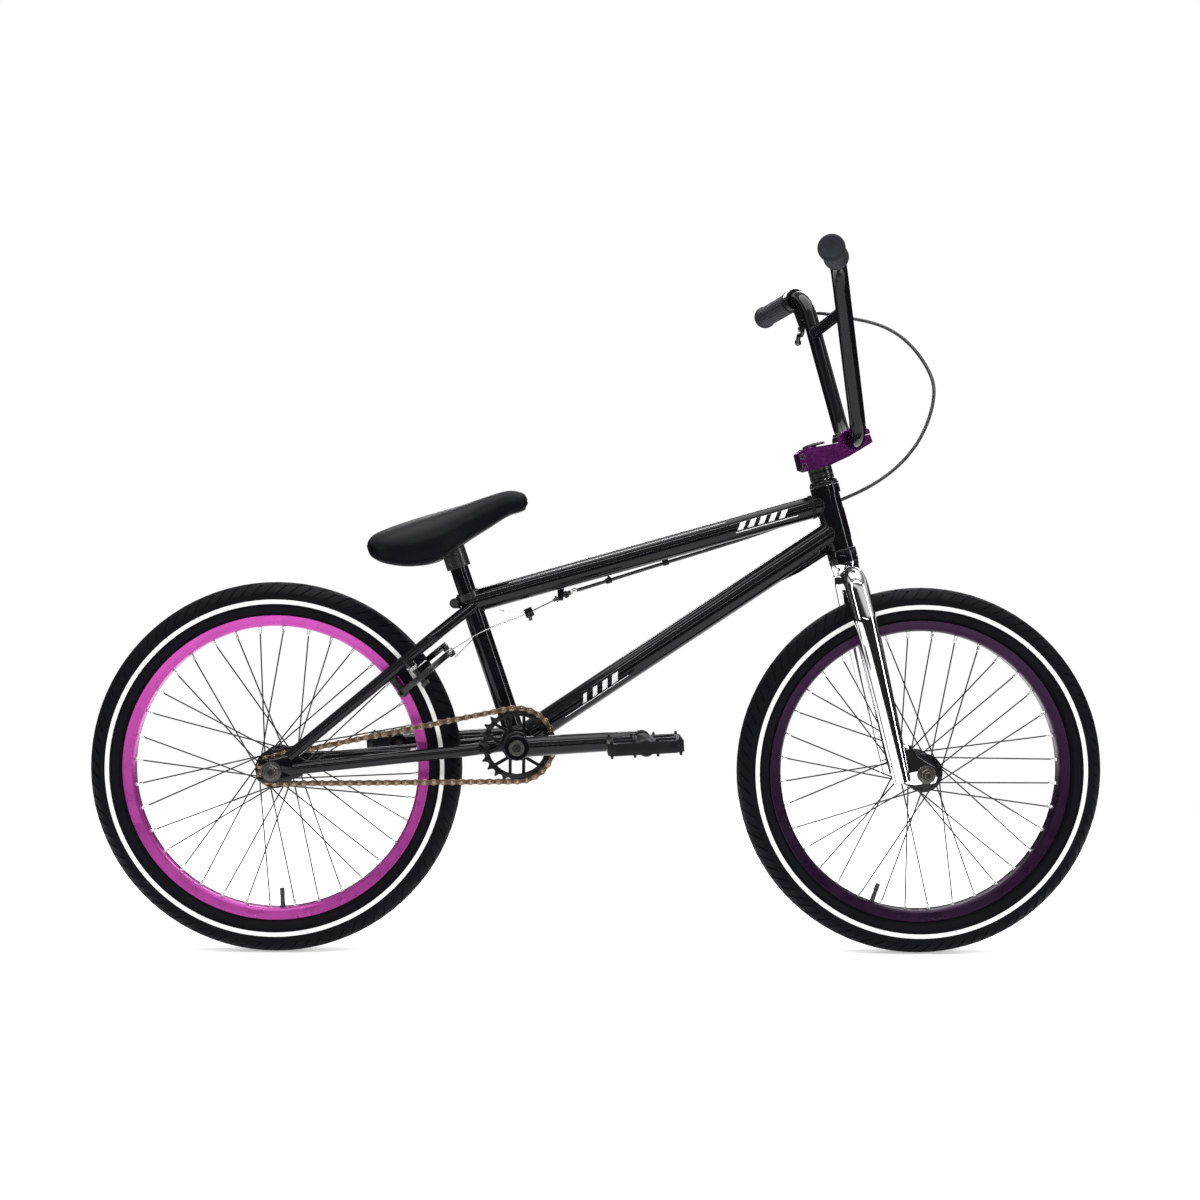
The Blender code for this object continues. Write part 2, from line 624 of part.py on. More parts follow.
def build_pedal(name, side):
    pedal = BB + Y_AXIS * side * CRANK_OFFSET + crank_direction(side) * CRANK_LENGTH
    out = Y_AXIS * side
    start = pedal - out * 0.0108
    axle = rod(start, pedal + out * 0.0140, 0.0063, sides=COARSE)
    axle = union(axle, rod(pedal + out * 0.0133, pedal + out * 0.0168, 0.0085, sides=COARSE))
    axle = union(axle, rod(pedal + out * 0.0100, pedal + out * 0.1100, 0.0045, sides=COARSE))
    finish(axle, f"pedal_axle_{name}", BLACK_STEEL, crank_axis)

    pivot = joint_empty(f"pedal_axis_{name}", pedal)
    middle = pedal + out * (0.0175 + PEDAL_HALF_WIDTH)
    body = block(middle, (2 * PEDAL_HALF_LENGTH, 2 * PEDAL_HALF_WIDTH, 0.018), bevel=0.004)
    spine = rod(middle - out * PEDAL_HALF_WIDTH, middle + out * PEDAL_HALF_WIDTH, 0.0115, sides=COARSE)
    windows = []
    for way in (-1, 1):
        for half in (-1, 1):
            centre = middle + Vector((way * 0.0275, half * 0.0205, 0))
            windows.append(block(centre, (0.0260, 0.0320, 0.05)))
    body = cut(body, *windows)
    body = union(body, spine)
    bore_end = middle + out * (PEDAL_HALF_WIDTH - 0.002)
    body = cut(body, rod(middle - out * 0.06, bore_end, 0.0050, sides=COARSE))
    turn = Matrix.Translation(pedal) @ Matrix.Rotation(-CRANK_RISE, 4, "Y") @ Matrix.Translation(-pedal)
    body.data.transform(turn)
    finish(body, f"pedal_{name}", NYLON, pivot)


# ---------------------------------------------------------------- wheels
WHEEL_STEPS = 28
SPOKES = 36
SPOKE_RADIUS = 0.0010
SPOKE_RING_RADIUS = 0.0288
VALVE_ANGLE_REAR = math.radians(-87.5)
VALVE_ANGLE_FRONT = math.radians(-109)
BEAD_FOOT = 0.2035


def tyre_profile():
    """C-shaped tyre section: outer casing from bead to bead, then back along the inside."""
    middle = TYRE_RADIUS - TYRE_HALF_WIDTH
    outer = [(RIM_RADIUS + 0.0008, -0.0165)]
    for i in range(7):
        angle = math.radians(-122 + 244 * i / 6)
        outer.append((middle + TYRE_HALF_WIDTH * math.cos(angle), TYRE_HALF_WIDTH * math.sin(angle)))
    outer = [(max(r, RIM_RADIUS + 0.0008), y) for r, y in outer[1:]]
    bead_out = [(RIM_RADIUS + 0.0008, 0.0129), (BEAD_FOOT, 0.0122), (BEAD_FOOT, 0.0100), (0.2135, 0.0110)]
    inner = []
    for i in range(5):
        angle = math.radians(112 - 224 * i / 4)
        inner.append((middle + 0.0235 * math.cos(angle), 0.0235 * math.sin(angle)))
    bead_back = [(r, -y) for r, y in reversed(bead_out)]
    return outer + bead_out + inner + bead_back


def rim_profile():
    """Single-wall channel rim, open towards the tyre."""
    lip, root = RIM_RADIUS, RIM_INNER_RADIUS
    return [
        (lip, RIM_HALF_WIDTH), (root + 0.0030, 0.0145), (root, 0.0090), (root, -0.0090),
        (root + 0.0030, -0.0145), (lip, -RIM_HALF_WIDTH), (lip, -0.0135),
        (root + 0.0025, -0.0120), (root + 0.0025, 0.0120), (lip, 0.0135),
    ]


def build_inner_tube(name, hub, valve_angle, parent):
    middle = TYRE_RADIUS - TYRE_HALF_WIDTH - 0.0005

    def torus(section, sides):
        profile = [(middle + section * math.cos(2 * math.pi * i / sides),
                    section * math.sin(2 * math.pi * i / sides)) for i in range(sides)]
        return turned(profile, hub, Y_AXIS, 20, ring=True)

    inward = Vector((math.cos(valve_angle), 0, math.sin(valve_angle)))
    tip = hub + inward * (RIM_INNER_RADIUS - 0.027)
    tube = union(torus(0.0175, 6), rod(hub + inward * (middle - 0.005), tip, 0.0035, sides=8))
    passage = rod(hub + inward * (middle - 0.002), tip - inward * 0.01, 0.0015, sides=8)
    tube = cut(tube, torus(0.0160, 6), passage)
    finish(tube, name, TUBE_RUBBER, parent)


def build_rim(name, hub, valve_angle, mat, parent):
    rim = turned(rim_profile(), hub, Y_AXIS, WHEEL_STEPS, ring=True)
    inward = Vector((math.cos(valve_angle), 0, math.sin(valve_angle)))
    hole = rod(hub + inward * 0.205, hub + inward * 0.19, 0.0041, sides=8)
    finish(cut(rim, hole), name, mat, parent)


def build_spokes(name, hub, flange, lead, parent):
    """Three-cross lacing of one flange: every other spoke leads, the rest trail."""
    side = math.copysign(1, flange)
    ring = ring_between(hub + Y_AXIS * (flange - 0.0042), hub + Y_AXIS * (flange + 0.0042),
                        0.0275, 0.0300, 24)
    per_side = SPOKES // 2
    step = 2 * math.pi / per_side
    cross = 3 * step
    for i in range(per_side):
        way = 1 if i % 2 == 0 else -1
        start_angle = lead + step * i
        end_angle = start_angle + way * cross
        start = hub + Vector((SPOKE_RING_RADIUS * math.cos(start_angle), flange + way * side * 0.0026,
                              SPOKE_RING_RADIUS * math.sin(start_angle)))
        reach = RIM_INNER_RADIUS - 0.0014
        end = hub + Vector((reach * math.cos(end_angle), side * 0.0022, reach * math.sin(end_angle)))
        ring = union(ring, rod(start, end, SPOKE_RADIUS, sides=5))
    finish(ring, name, BLACK_STEEL, parent)


def build_hub(name, hub, low, high, flanges, bore, parent):
    """Turned hub shell between low and high along Y with two flanges."""
    a, b = flanges
    profile = [
        (bore, low), (0.0145, low), (0.0150, a - 0.0045), (0.0272, a - 0.0016), (0.0272, a + 0.0016),
        (0.0165, a + 0.0050), (0.0150, (a + b) / 2), (0.0165, b - 0.0050), (0.0272, b - 0.0016),
        (0.0272, b + 0.0016), (0.0150, b + 0.0045), (0.0145, high), (bore, high),
    ]
    finish(turned(profile, hub, Y_AXIS, 16, ring=True), name, BLACK_ALLOY, parent)


def build_front_axle():
    end = Y_AXIS * FRONT_AXLE_END
    axle = rod(FRONT_HUB - end, FRONT_HUB + end, FRONT_AXLE_RADIUS, sides=COARSE)
    for side in (-1, 1):
        out = Y_AXIS * side
        axle = union(
            axle,
            rod(FRONT_HUB + out * (FRONT_DROPOUT - 0.0055), FRONT_HUB + out * (FRONT_DROPOUT - GAP), 0.0085,
                sides=COARSE),
            rod(FRONT_HUB + out * 0.0558, FRONT_HUB + out * 0.0576, 0.0125, sides=COARSE),
            rod(FRONT_HUB + out * 0.0576, FRONT_HUB + out * 0.0650, 0.0095, sides=6),
        )
    finish(axle, "front_axle", BLACK_STEEL, steering_axis)


def build_wheels():
    front_tyre = turned(tyre_profile(), FRONT_HUB, Y_AXIS, WHEEL_STEPS, ring=True)
    rear_tyre = turned(tyre_profile(), REAR_HUB, Y_AXIS, WHEEL_STEPS, ring=True)
    finish(front_tyre, "front_tyre", RUBBER, front_wheel_axis)
    finish(rear_tyre, "rear_tyre", RUBBER, rear_wheel_axis)
    build_inner_tube("front_inner_tube", FRONT_HUB, VALVE_ANGLE_FRONT, front_wheel_axis)
    build_inner_tube("rear_inner_tube", REAR_HUB, VALVE_ANGLE_REAR, rear_wheel_axis)
    build_rim("front_rim", FRONT_HUB, VALVE_ANGLE_FRONT, PURPLE, front_wheel_axis)
    build_rim("rear_rim", REAR_HUB, VALVE_ANGLE_REAR, MAGENTA, rear_wheel_axis)
    front_bore = FRONT_AXLE_RADIUS + 0.0004
    rear_bore = REAR_AXLE_RADIUS + 0.0004
    build_hub("front_hub", FRONT_HUB, -0.0440, 0.0440, (-0.0320, 0.0320), front_bore, front_wheel_axis)
    build_hub("rear_hub", REAR_HUB, -0.0355, 0.0490, (-0.0250, 0.0340), rear_bore, rear_wheel_axis)
    half_step = math.pi / (SPOKES // 2)
    build_spokes("front_spokes_right", FRONT_HUB, -0.0320, math.radians(5), front_wheel_axis)
    build_spokes("front_spokes_left", FRONT_HUB, 0.0320, math.radians(5) + half_step, front_wheel_axis)
    build_spokes("rear_spokes_right", REAR_HUB, -0.0250, math.radians(7.5), rear_wheel_axis)
    build_spokes("rear_spokes_left", REAR_HUB, 0.0340, math.radians(7.5) + half_step, rear_wheel_axis)


# ---------------------------------------------------------------- fork
def both_sides(half):
    """The path from one side to the other whose drive-side half is given, middle point first."""
    mirror = [Vector((p.x, -p.y, p.z)) for p in half]
    return list(reversed([Vector(p) for p in half]))[:-1] + mirror


def build_fork():
    top = on_steer(0.7040)
    crown = on_steer(0.5300)
    fork = rod(crown, top, STEERER_RADIUS)
    race = HEAD_LOW - STEER_UP * 0.0003
    fork = union(fork, rod(race - STEER_UP * 0.006, race, 0.0188, 0.0196))
    half_leg = rounded_path([(0.3470, 0, 0.5290), (0.3480, -0.042, 0.5270), (0.3620, -0.0535, 0.4700),
                             (0.4160, -0.0550, 0.2470)], 0.022, 4)
    sizes = [1.0] * 5 + [0.98] * 4 + [0.74]
    bores = [(size * 0.0160 - 0.0014) / 0.0146 for size in sizes]
    fork = union(fork, swept(both_sides(half_leg), 0.0160, 4, sizes[:0:-1] + sizes))
    for side in (-1, 1):
        outline = [(0.4270, 0.2980), (0.4370, 0.2820), (0.4640, 0.2650), (0.4640, 0.2440), (0.4545, 0.2440),
                   (0.4545, 0.2585), (0.4520, 0.2622), (0.4460, 0.2622), (0.4435, 0.2585), (0.4435, 0.2440),
                   (0.4230, 0.2440),
                   (0.4120, 0.2520), (0.4080, 0.2980)]
        fork = union(fork, plate(outline, 0.0050, side * (FRONT_DROPOUT + 0.0029)))
    bore_path = half_leg[:-1] + [half_leg[-2].lerp(half_leg[-1], 0.93)]
    fork = cut(fork, swept(both_sides(bore_path), 0.0146, 4, bores[:0:-1] + bores))
    fork = cut(fork, rod(on_steer(0.5320), top + STEER_UP * 0.01, 0.0122))
    finish(fork, "fork", CHROME, steering_axis, merge_flat=False)


# ---------------------------------------------------------------- headset, stem and handlebar
def build_headset_top():
    low = HEAD_HIGH + STEER_UP * 0.0003
    cover = turned(
        [(0.0147, 0), (0.0203, 0), (0.0203, 0.0035), (0.0180, 0.0080), (0.0172, 0.0085), (0.0147, 0.0085)],
        low, STEER_UP, FINE, ring=True,
    )
    finish(cover, "headset_cover", BLACK_ALLOY, steering_axis)
    spacer_low = low + STEER_UP * 0.0088
    finish(ring_between(spacer_low, spacer_low + STEER_UP * 0.0065, 0.0147, 0.0170), "headset_spacer",
           BLACK_ALLOY, steering_axis)


STEM_HALF = 0.0245
BAR_CENTRE = Vector((BAR_BASE[0], 0, BAR_BASE[2]))


def build_stem():
    outline = [
        (0.2700, 0.6985), (0.2755, 0.6770), (0.2830, 0.6745), (0.3160, 0.6835), (0.3420, 0.6960),
        (0.3740, 0.7160), (0.3700, 0.7270), (0.3240, 0.7140), (0.3000, 0.7095), (0.2780, 0.7060),
    ]
    stem = plate(outline, 2 * STEM_HALF, 0)
    stem = cut(
        stem,
        rod(on_steer(0.66), on_steer(0.73), STEERER_RADIUS + 0.0003),
        rod(BAR_CENTRE - Y_AXIS * 0.05, BAR_CENTRE + Y_AXIS * 0.05, BAR_RADIUS + 0.0008),
        block((0.2790, 0, 0.690), (0.022, 0.0025, 0.06)),
    )
    finish(stem, "stem", PURPLE, steering_axis)

    cap_up = Vector((-0.27, 0, 0.963)).normalized()
    along = Vector((0.963, 0, 0.27)).normalized()
    def at(forward, up):
        point = BAR_CENTRE + along * forward + cap_up * up
        return (point.x, point.z)
    cap_outline = [at(-0.0240, 0.0042), at(0.0240, 0.0042), at(0.0225, 0.0110), at(0.0110, 0.0165),
                   at(-0.0110, 0.0165), at(-0.0225, 0.0110)]
    cap = plate(cap_outline, 2 * STEM_HALF, 0)
    cap = cut(cap, rod(BAR_CENTRE - Y_AXIS * 0.05, BAR_CENTRE + Y_AXIS * 0.05, BAR_RADIUS + 0.0008))
    finish(cap, "stem_cap", PURPLE, steering_axis)

    top = on_steer(0.7106)
    knob = turned(
        [(0, -0.0200), (0.0035, -0.0200), (0.0035, 0), (0.0160, 0), (0.0160, 0.0020), (0.0125, 0.0040),
         (0, 0.0040)],
        top, STEER_UP, 16,
    )
    finish(knob, "headset_top_cap", BLACK_ALLOY, steering_axis)


def bar_path():
    corners = [
        (BAR_END[0], -BAR_HALF, BAR_END[1]),
        (BAR_TOP[0], -BAR_TOP[1], BAR_TOP[2]),
        (BAR_BASE[0], -BAR_BASE[1], BAR_BASE[2]),
        BAR_BASE,
        BAR_TOP,
        (BAR_END[0], BAR_HALF, BAR_END[1]),
    ]
    return rounded_path(corners, BAR_BEND, 4)


def crossbar_end(side):
    t = (CROSSBAR_Z - BAR_BASE[2]) / (BAR_TOP[2] - BAR_BASE[2])
    low, high = Vector(BAR_BASE), Vector(BAR_TOP)
    point = low.lerp(high, t)
    return Vector((point.x, side * point.y, point.z))


def build_handlebar():
    path = bar_path()
    bar = swept(path, BAR_RADIUS, 4)
    bar = union(bar, rod(crossbar_end(-1), crossbar_end(1), 0.0080, sides=COARSE))
    start_out = (path[0] - path[1]).normalized() * 0.01
    end_out = (path[-1] - path[-2]).normalized() * 0.01
    bore = [path[0] + start_out] + path[1:-1] + [path[-1] + end_out]
    bar = cut(bar, swept(bore, BAR_RADIUS - WALL, 4))
    bar = cut(bar, rod(crossbar_end(-1), crossbar_end(1), 0.0068, sides=COARSE))
    finish(bar, "handlebar", GLOSS_BLACK, steering_axis)


def grip_axis(side):
    """End point and inward direction of one grip."""
    end = Vector((BAR_END[0], side * BAR_HALF, BAR_END[1]))
    bend = Vector((BAR_TOP[0], side * BAR_TOP[1], BAR_TOP[2]))
    return end, (bend - end).normalized()


def build_grips():
    for name, side in zip(pair("grip"), (-1, 1)):
        end, inward = grip_axis(side)
        start = end - inward * 0.0040
        bore = BAR_RADIUS + 0.0007
        profile = [(0, 0), (0.0150, 0), (0.0172, 0.0015), (0.0172, 0.0045), (0.0152, 0.0065),
                   (0.0155, GRIP_LENGTH * 0.5), (0.0150, GRIP_LENGTH - 0.008), (0.0165, GRIP_LENGTH - 0.004),
                   (0.0165, GRIP_LENGTH), (bore, GRIP_LENGTH), (bore, 0.0037), (0, 0.0037)]
        finish(turned(profile, start, inward, 16), name, GRIP_RUBBER, steering_axis)


# ---------------------------------------------------------------- brake lever and cable
LEVER_AXIS = Vector((0.94, 0, 0.342)).normalized()
LEVER_DOWN = Vector((0.342, 0, -0.94)).normalized()


def lever_clamp_centre():
    end, inward = grip_axis(1)
    return end + inward * 0.1402


def lever_pivot():
    return lever_clamp_centre() + LEVER_DOWN * 0.0440 + Y_AXIS * 0.006


def build_brake_lever():
    centre = lever_clamp_centre()
    _, inward = grip_axis(1)
    ring = ring_between(centre - inward * 0.0075, centre + inward * 0.0075, BAR_RADIUS + 0.0007, 0.0160, 16)
    arm_end = lever_pivot() - Y_AXIS * 0.004
    arm_start = centre + LEVER_DOWN * 0.0135
    bracket = union(ring, swept([arm_start, arm_end], 0.0072, 2, [1.0, 0.9]))
    barrel_tip = barrel_exit()
    bracket = union(bracket, rod(arm_start.lerp(arm_end, 0.62), barrel_tip, 0.0042, sides=COARSE))
    finish(bracket, "brake_lever_bracket", BLACK_ALLOY, steering_axis)

    pivot = lever_pivot()
    pivot_empty = joint_empty("brake_lever_axis", pivot)
    path = [
        pivot + Y_AXIS * 0.0075,
        pivot + Y_AXIS * 0.030 + LEVER_DOWN * 0.006,
        pivot + Y_AXIS * 0.060 + LEVER_DOWN * 0.004,
        pivot + Y_AXIS * 0.088 + LEVER_DOWN * 0.012,
    ]
    blade = swept(smooth_path(path, 3), 0.0055, 2)
    finish(blade, "brake_lever_blade", BLACK_ALLOY, pivot_empty)


def barrel_exit():
    return lever_clamp_centre() + LEVER_DOWN * 0.030 - Y_AXIS * 0.020 + LEVER_AXIS * 0.014


CABLE_RADIUS = 0.0025


def cable_route():
    """Outer casing: lever, a loop ahead of the bars, past the head tube, under the top tube."""
    start = barrel_exit()
    leave = Vector((0.70, -0.71, 0.05)).normalized()
    return [
        start + leave * 0.0022,
        start + leave * 0.020,
        Vector((0.3520, 0.1150, 0.9050)),
        Vector((0.3980, 0.0950, 0.8960)),
        Vector((0.4420, 0.0780, 0.8690)),
        Vector((0.4720, 0.0620, 0.8200)),
        Vector((0.4760, 0.0520, 0.7880)),
        Vector((0.4600, 0.0430, 0.7330)),
        Vector((0.4230, 0.0350, 0.6850)),
        Vector((0.3740, 0.0275, 0.6520)),
        Vector((0.3330, 0.0235, 0.6350)),
        Vector((0.2900, 0.0210, 0.6150)),
        Vector((0.2450, 0.0150, 0.5960)),
        Vector((0.1700, 0.0125, 0.5705)),
        Vector((0.0900, 0.0085, 0.5460)),
        Vector((0.0100, 0.0030, 0.5200)),
        CABLE_STOP + WIRE_DIRECTION * 0.0165,
    ]


def build_cable():
    finish(swept(smooth_path(cable_route(), 2), CABLE_RADIUS, 2), "brake_cable_housing", HOUSING)
    for name, x in (("cable_clip_front", 0.0900), ("cable_clip_rear", 0.0100)):
        low = next(p for p in cable_route() if abs(p.x - x) < 0.001)
        foot_z = TOP_TUBE_REAR.z + (x - TOP_TUBE_REAR.x) * math.tan(math.radians(16.12)) - 0.0172
        outer = rod(low - Vector((0.004, 0, 0.0013)), low + Vector((0.004, 0, 0.0013)), 0.0042, sides=COARSE)
        strap_top = Vector((x, low.y * 0.5, foot_z))
        strap = rod(low, strap_top, 0.0020, sides=6)
        clip = union(outer, strap)
        reach = Vector((0.012, 0, 0.0039))
        clip = cut(clip, rod(low - reach, low + reach, 0.0030, sides=COARSE))
        finish(clip, name, NYLON)


def build_barrel_adjuster():
    low = CABLE_STOP - WIRE_DIRECTION * 0.0115
    barrel = turned(
        [(0.0012, 0), (0.0024, 0), (0.0024, 0.0168), (0.0048, 0.0168), (0.0048, 0.0230), (0.0034, 0.0245),
         (0.0034, 0.0275), (0.0012, 0.0275)],
        low, WIRE_DIRECTION, 12, ring=True,
    )
    finish(barrel, "barrel_adjuster", BLACK_ALLOY)


# ---------------------------------------------------------------- rear brake
HANGER = Vector((-0.1010, 0, 0.4745))
ARM_RIGHT_FORWARD = 0.0305
ARM_LEFT_FORWARD = 0.0185
ARM_THICK = 0.0085
PAD_ALONG = 0.2025
PAD_FORWARD = 0.0180


def anchor_point(side):
    """Cable anchor at the crossed-over upper end of one brake arm."""
    forward = ARM_RIGHT_FORWARD if side < 0 else ARM_LEFT_FORWARD
    return brake_point(0.2860, forward, -side * 0.0130)


def brake_plate(points, forward, thickness):
    """Plate in the plane across the tyre, from (along, side) points."""
    curve = bpy.data.curves.new("arm", "CURVE")
    curve.dimensions = "2D"
    curve.fill_mode = "BOTH"
    curve.extrude = thickness / 2
    spline = curve.splines.new("POLY")
    spline.points.add(len(points) - 1)
    for i, (along, side) in enumerate(points):
        spline.points[i].co = (along, side, 0, 1)
    spline.use_cyclic_u = True
    obj = placed(curve)
    axes = Matrix((STAY_DIRECTION, Y_AXIS, STAY_DIRECTION.cross(Y_AXIS))).transposed().to_4x4()
    obj.matrix_world = Matrix.Translation(brake_point(0, forward, 0)) @ axes
    return baked(obj)


def build_brake_arm(name, side):
    forward = ARM_RIGHT_FORWARD if side < 0 else ARM_LEFT_FORWARD
    pivot_empty = joint_empty(f"brake_arm_axis_{name}", brake_point(PIVOT_ALONG, forward, side * PIVOT_SIDE))
    shape = [
        (0.197, 0.0400), (0.197, 0.0290), (0.212, 0.0290), (0.222, 0.0340), (0.246, 0.0330), (0.262, 0.0260),
        (0.272, 0.0130), (0.280, -0.0060), (0.284, -0.0190), (0.2915, -0.0170), (0.2905, -0.0020),
        (0.283, 0.0200), (0.270, 0.0400), (0.252, 0.0530), (0.228, 0.0545), (0.212, 0.0470),
    ]
    outline = [(along, y * side) for along, y in shape]
    arm = brake_plate(outline, forward, ARM_THICK)
    start = brake_point(PIVOT_ALONG, PIVOT_FOOT - 0.004, side * PIVOT_SIDE)
    end = brake_point(PIVOT_ALONG, PIVOT_END + 0.004, side * PIVOT_SIDE)
    arm = cut(arm, rod(start, end, 0.0039, sides=COARSE))
    bolt = anchor_point(side)
    face = bolt + BRAKE_FORWARD * (ARM_THICK / 2)
    head = rod(face - BRAKE_FORWARD * 0.001, face + BRAKE_FORWARD * 0.0030, 0.0045, sides=6)
    finish(union(arm, head), f"brake_arm_{name}", BLACK_ALLOY, pivot_empty)

    pad_middle = brake_point(PAD_ALONG, forward, 0)
    tangent = BRAKE_FORWARD
    inner_face = RIM_HALF_WIDTH + 0.0016
    pad_size = (0.0090, 0.0075, 0.040)
    turn = math.atan2(tangent.x, tangent.z)
    face_offset = Y_AXIS * side * (inner_face + pad_size[1] / 2)
    centre = brake_point(PAD_ALONG, PAD_FORWARD, 0) + face_offset
    pad = block(centre, pad_size, turn_y=turn, bevel=0.0012)
    post_start = pad_middle + face_offset + Y_AXIS * side * (pad_size[1] / 2 - 0.001)
    post_end = pad_middle + Y_AXIS * side * (0.0290 - GAP)
    pad = union(pad, rod(post_start, post_end, 0.0042, sides=COARSE))
    finish(pad, f"brake_pad_{name}", PAD_RUBBER, pivot_empty)


WIRE_RADIUS = 0.0009


def build_straddle():
    slide = joint_empty("straddle_slide", HANGER)
    body = block(HANGER, (0.0120, 0.0100, 0.0130), turn_y=math.radians(-25), bevel=0.0010)
    stub = rod(HANGER, CABLE_STOP - WIRE_DIRECTION * 0.0020, WIRE_RADIUS, sides=8)
    finish(union(body, stub), "straddle_hanger", BLACK_ALLOY, slide)
    for name, side in zip(pair("straddle_wire"), (-1, 1)):
        other = ARM_LEFT_FORWARD if side < 0 else ARM_RIGHT_FORWARD
        lift = brake_point(0.2860, other + ARM_THICK / 2 + 0.0058, side * 0.0130)
        start = HANGER - WIRE_DIRECTION * 0.0066 + Y_AXIS * side * 0.0030
        passing = on_seat(0.4470) + Y_AXIS * side * (SEAT_TUBE_RADIUS + 0.0030)
        wire = swept([start, passing, lift], WIRE_RADIUS, 2)
        finish(wire, name, STEEL, slide)


# ---------------------------------------------------------------- seat
def saddle_stations():
    """(x, top z, bottom z, half width) from the tail to the nose."""
    return [
        (-0.3245, 0.5725, 0.5610, 0.022), (-0.3170, 0.5810, 0.5500, 0.050), (-0.2970, 0.5905, 0.5410, 0.066),
        (-0.2620, 0.6030, 0.5375, 0.072), (-0.2260, 0.6140, 0.5450, 0.061), (-0.1910, 0.6250, 0.5700, 0.042),
        (-0.1600, 0.6360, 0.5900, 0.029), (-0.1320, 0.6440, 0.6080, 0.023), (-0.1130, 0.6400, 0.6180, 0.016),
        (-0.1045, 0.6320, 0.6260, 0.006),
    ]


def saddle_loft(name, sections):
    """Closed loft through rings of equal count; each end is capped."""
    mesh = bpy.data.meshes.new(name)
    bm = bmesh.new()
    rings = [[bm.verts.new(p) for p in ring] for ring in sections]
    count = len(rings[0])
    for first, second in zip(rings, rings[1:]):
        for i in range(count):
            j = (i + 1) % count
            bm.faces.new((first[i], first[j], second[j], second[i]))
    bm.faces.new(rings[0])
    bm.faces.new(list(reversed(rings[-1])))
    bmesh.ops.recalc_face_normals(bm, faces=bm.faces)
    bm.to_mesh(mesh)
    bm.free()
    return placed(mesh)


BASE_THICK = 0.0036


def build_seat():
    top = on_seat(0.5490)
    low = on_seat(0.3650)
    post = rod(low, top, 0.0127)
    post = cut(post, rod(low - SEAT_UP * 0.01, top - SEAT_UP * 0.006, 0.0112))
    finish(post, "seat_post", GLOSS_BLACK, seat_slide)

    pad_rings = []
    base_rings = []
    for x, top_z, low_z, half in saddle_stations():
        floor = low_z + BASE_THICK + GAP
        height = top_z - floor
        ring = []
        for i in range(9):
            angle = math.pi * i / 8
            side = half * math.cos(angle)
            lift = height * math.sin(angle) ** 0.75
            ring.append((x, side, floor + lift))
        ring += [(x, -half * 0.5, floor), (x, half * 0.5, floor)]
        pad_rings.append(ring)
        inset = half * 0.92
        base_rings.append([(x, inset, low_z), (x, inset, low_z + BASE_THICK),
                           (x, -inset, low_z + BASE_THICK), (x, -inset, low_z)])
    finish(saddle_loft("saddle", pad_rings), "saddle", SADDLE_COVER, seat_slide)
    finish(saddle_loft("base", base_rings[1:-1]), "saddle_base", NYLON, seat_slide)

    collar = rod(on_seat(0.5360), on_seat(0.5900), 0.0168)
    collar = cut(collar, rod(on_seat(0.53), top + SEAT_UP * GAP, 0.0130))
    x_a, _, z_a, _ = saddle_stations()[4]
    x_b, _, z_b, _ = saddle_stations()[5]
    slope = math.atan2(z_b - z_a, x_b - x_a)
    normal = Vector((-math.sin(slope), 0, math.cos(slope)))
    middle = Vector(((x_a + x_b) / 2, 0, (z_a + z_b) / 2))
    ceiling = block(middle + normal * (0.05 - GAP), (0.20, 0.12, 0.10), turn_y=-slope)
    finish(cut(collar, ceiling), "saddle_clamp", BLACK_ALLOY, seat_slide)


build_frame()
build_frame_fittings()
build_rear_axle()
build_chain()
build_sprocket()
build_driver()
build_cranks()
build_pedal("right", -1)
build_pedal("left", 1)
build_wheels()
build_front_axle()
build_fork()
build_headset_top()
build_stem()
build_handlebar()
build_grips()
build_brake_lever()
build_cable()
build_barrel_adjuster()
build_brake_arm("right", -1)
build_brake_arm("left", 1)
build_straddle()
build_seat()
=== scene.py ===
import json
from math import asin, atan2, cos, pi, radians, sin, sqrt, tan

import bmesh
import bpy
from mathutils import Matrix, Vector


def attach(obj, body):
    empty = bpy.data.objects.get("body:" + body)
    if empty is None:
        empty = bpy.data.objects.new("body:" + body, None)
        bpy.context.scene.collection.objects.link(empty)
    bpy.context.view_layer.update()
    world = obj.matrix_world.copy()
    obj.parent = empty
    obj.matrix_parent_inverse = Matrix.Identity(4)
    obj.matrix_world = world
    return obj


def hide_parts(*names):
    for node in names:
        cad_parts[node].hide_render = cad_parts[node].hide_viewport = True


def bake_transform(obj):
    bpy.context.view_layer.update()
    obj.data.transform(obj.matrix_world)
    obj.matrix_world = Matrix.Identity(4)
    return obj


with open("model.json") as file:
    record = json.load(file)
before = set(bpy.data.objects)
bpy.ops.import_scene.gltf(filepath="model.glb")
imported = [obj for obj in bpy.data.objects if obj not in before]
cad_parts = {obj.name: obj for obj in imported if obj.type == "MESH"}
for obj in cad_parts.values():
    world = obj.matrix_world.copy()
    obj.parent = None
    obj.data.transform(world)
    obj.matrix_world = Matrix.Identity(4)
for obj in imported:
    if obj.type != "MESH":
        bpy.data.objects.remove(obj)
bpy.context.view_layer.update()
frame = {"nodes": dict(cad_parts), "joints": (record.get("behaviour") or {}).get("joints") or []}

# ---------------------------------------------------------------- places, in metres, +X forward, +Z up
joint_place = {j["name"]: Vector(j["pos_m"]) for j in frame["joints"] if "pos_m" in j}
FRONT_HUB = joint_place["front_wheel_spin"]
REAR_HUB = joint_place["rear_wheel_spin"]
BB = joint_place["crank_spin"]
HEAD_LOW = joint_place["steering_turn"]
X_AXIS = Vector((1, 0, 0))
Y_AXIS = Vector((0, 1, 0))
Z_AXIS = Vector((0, 0, 1))
STEER_UP = Vector((-cos(radians(74.5)), 0, sin(radians(74.5))))
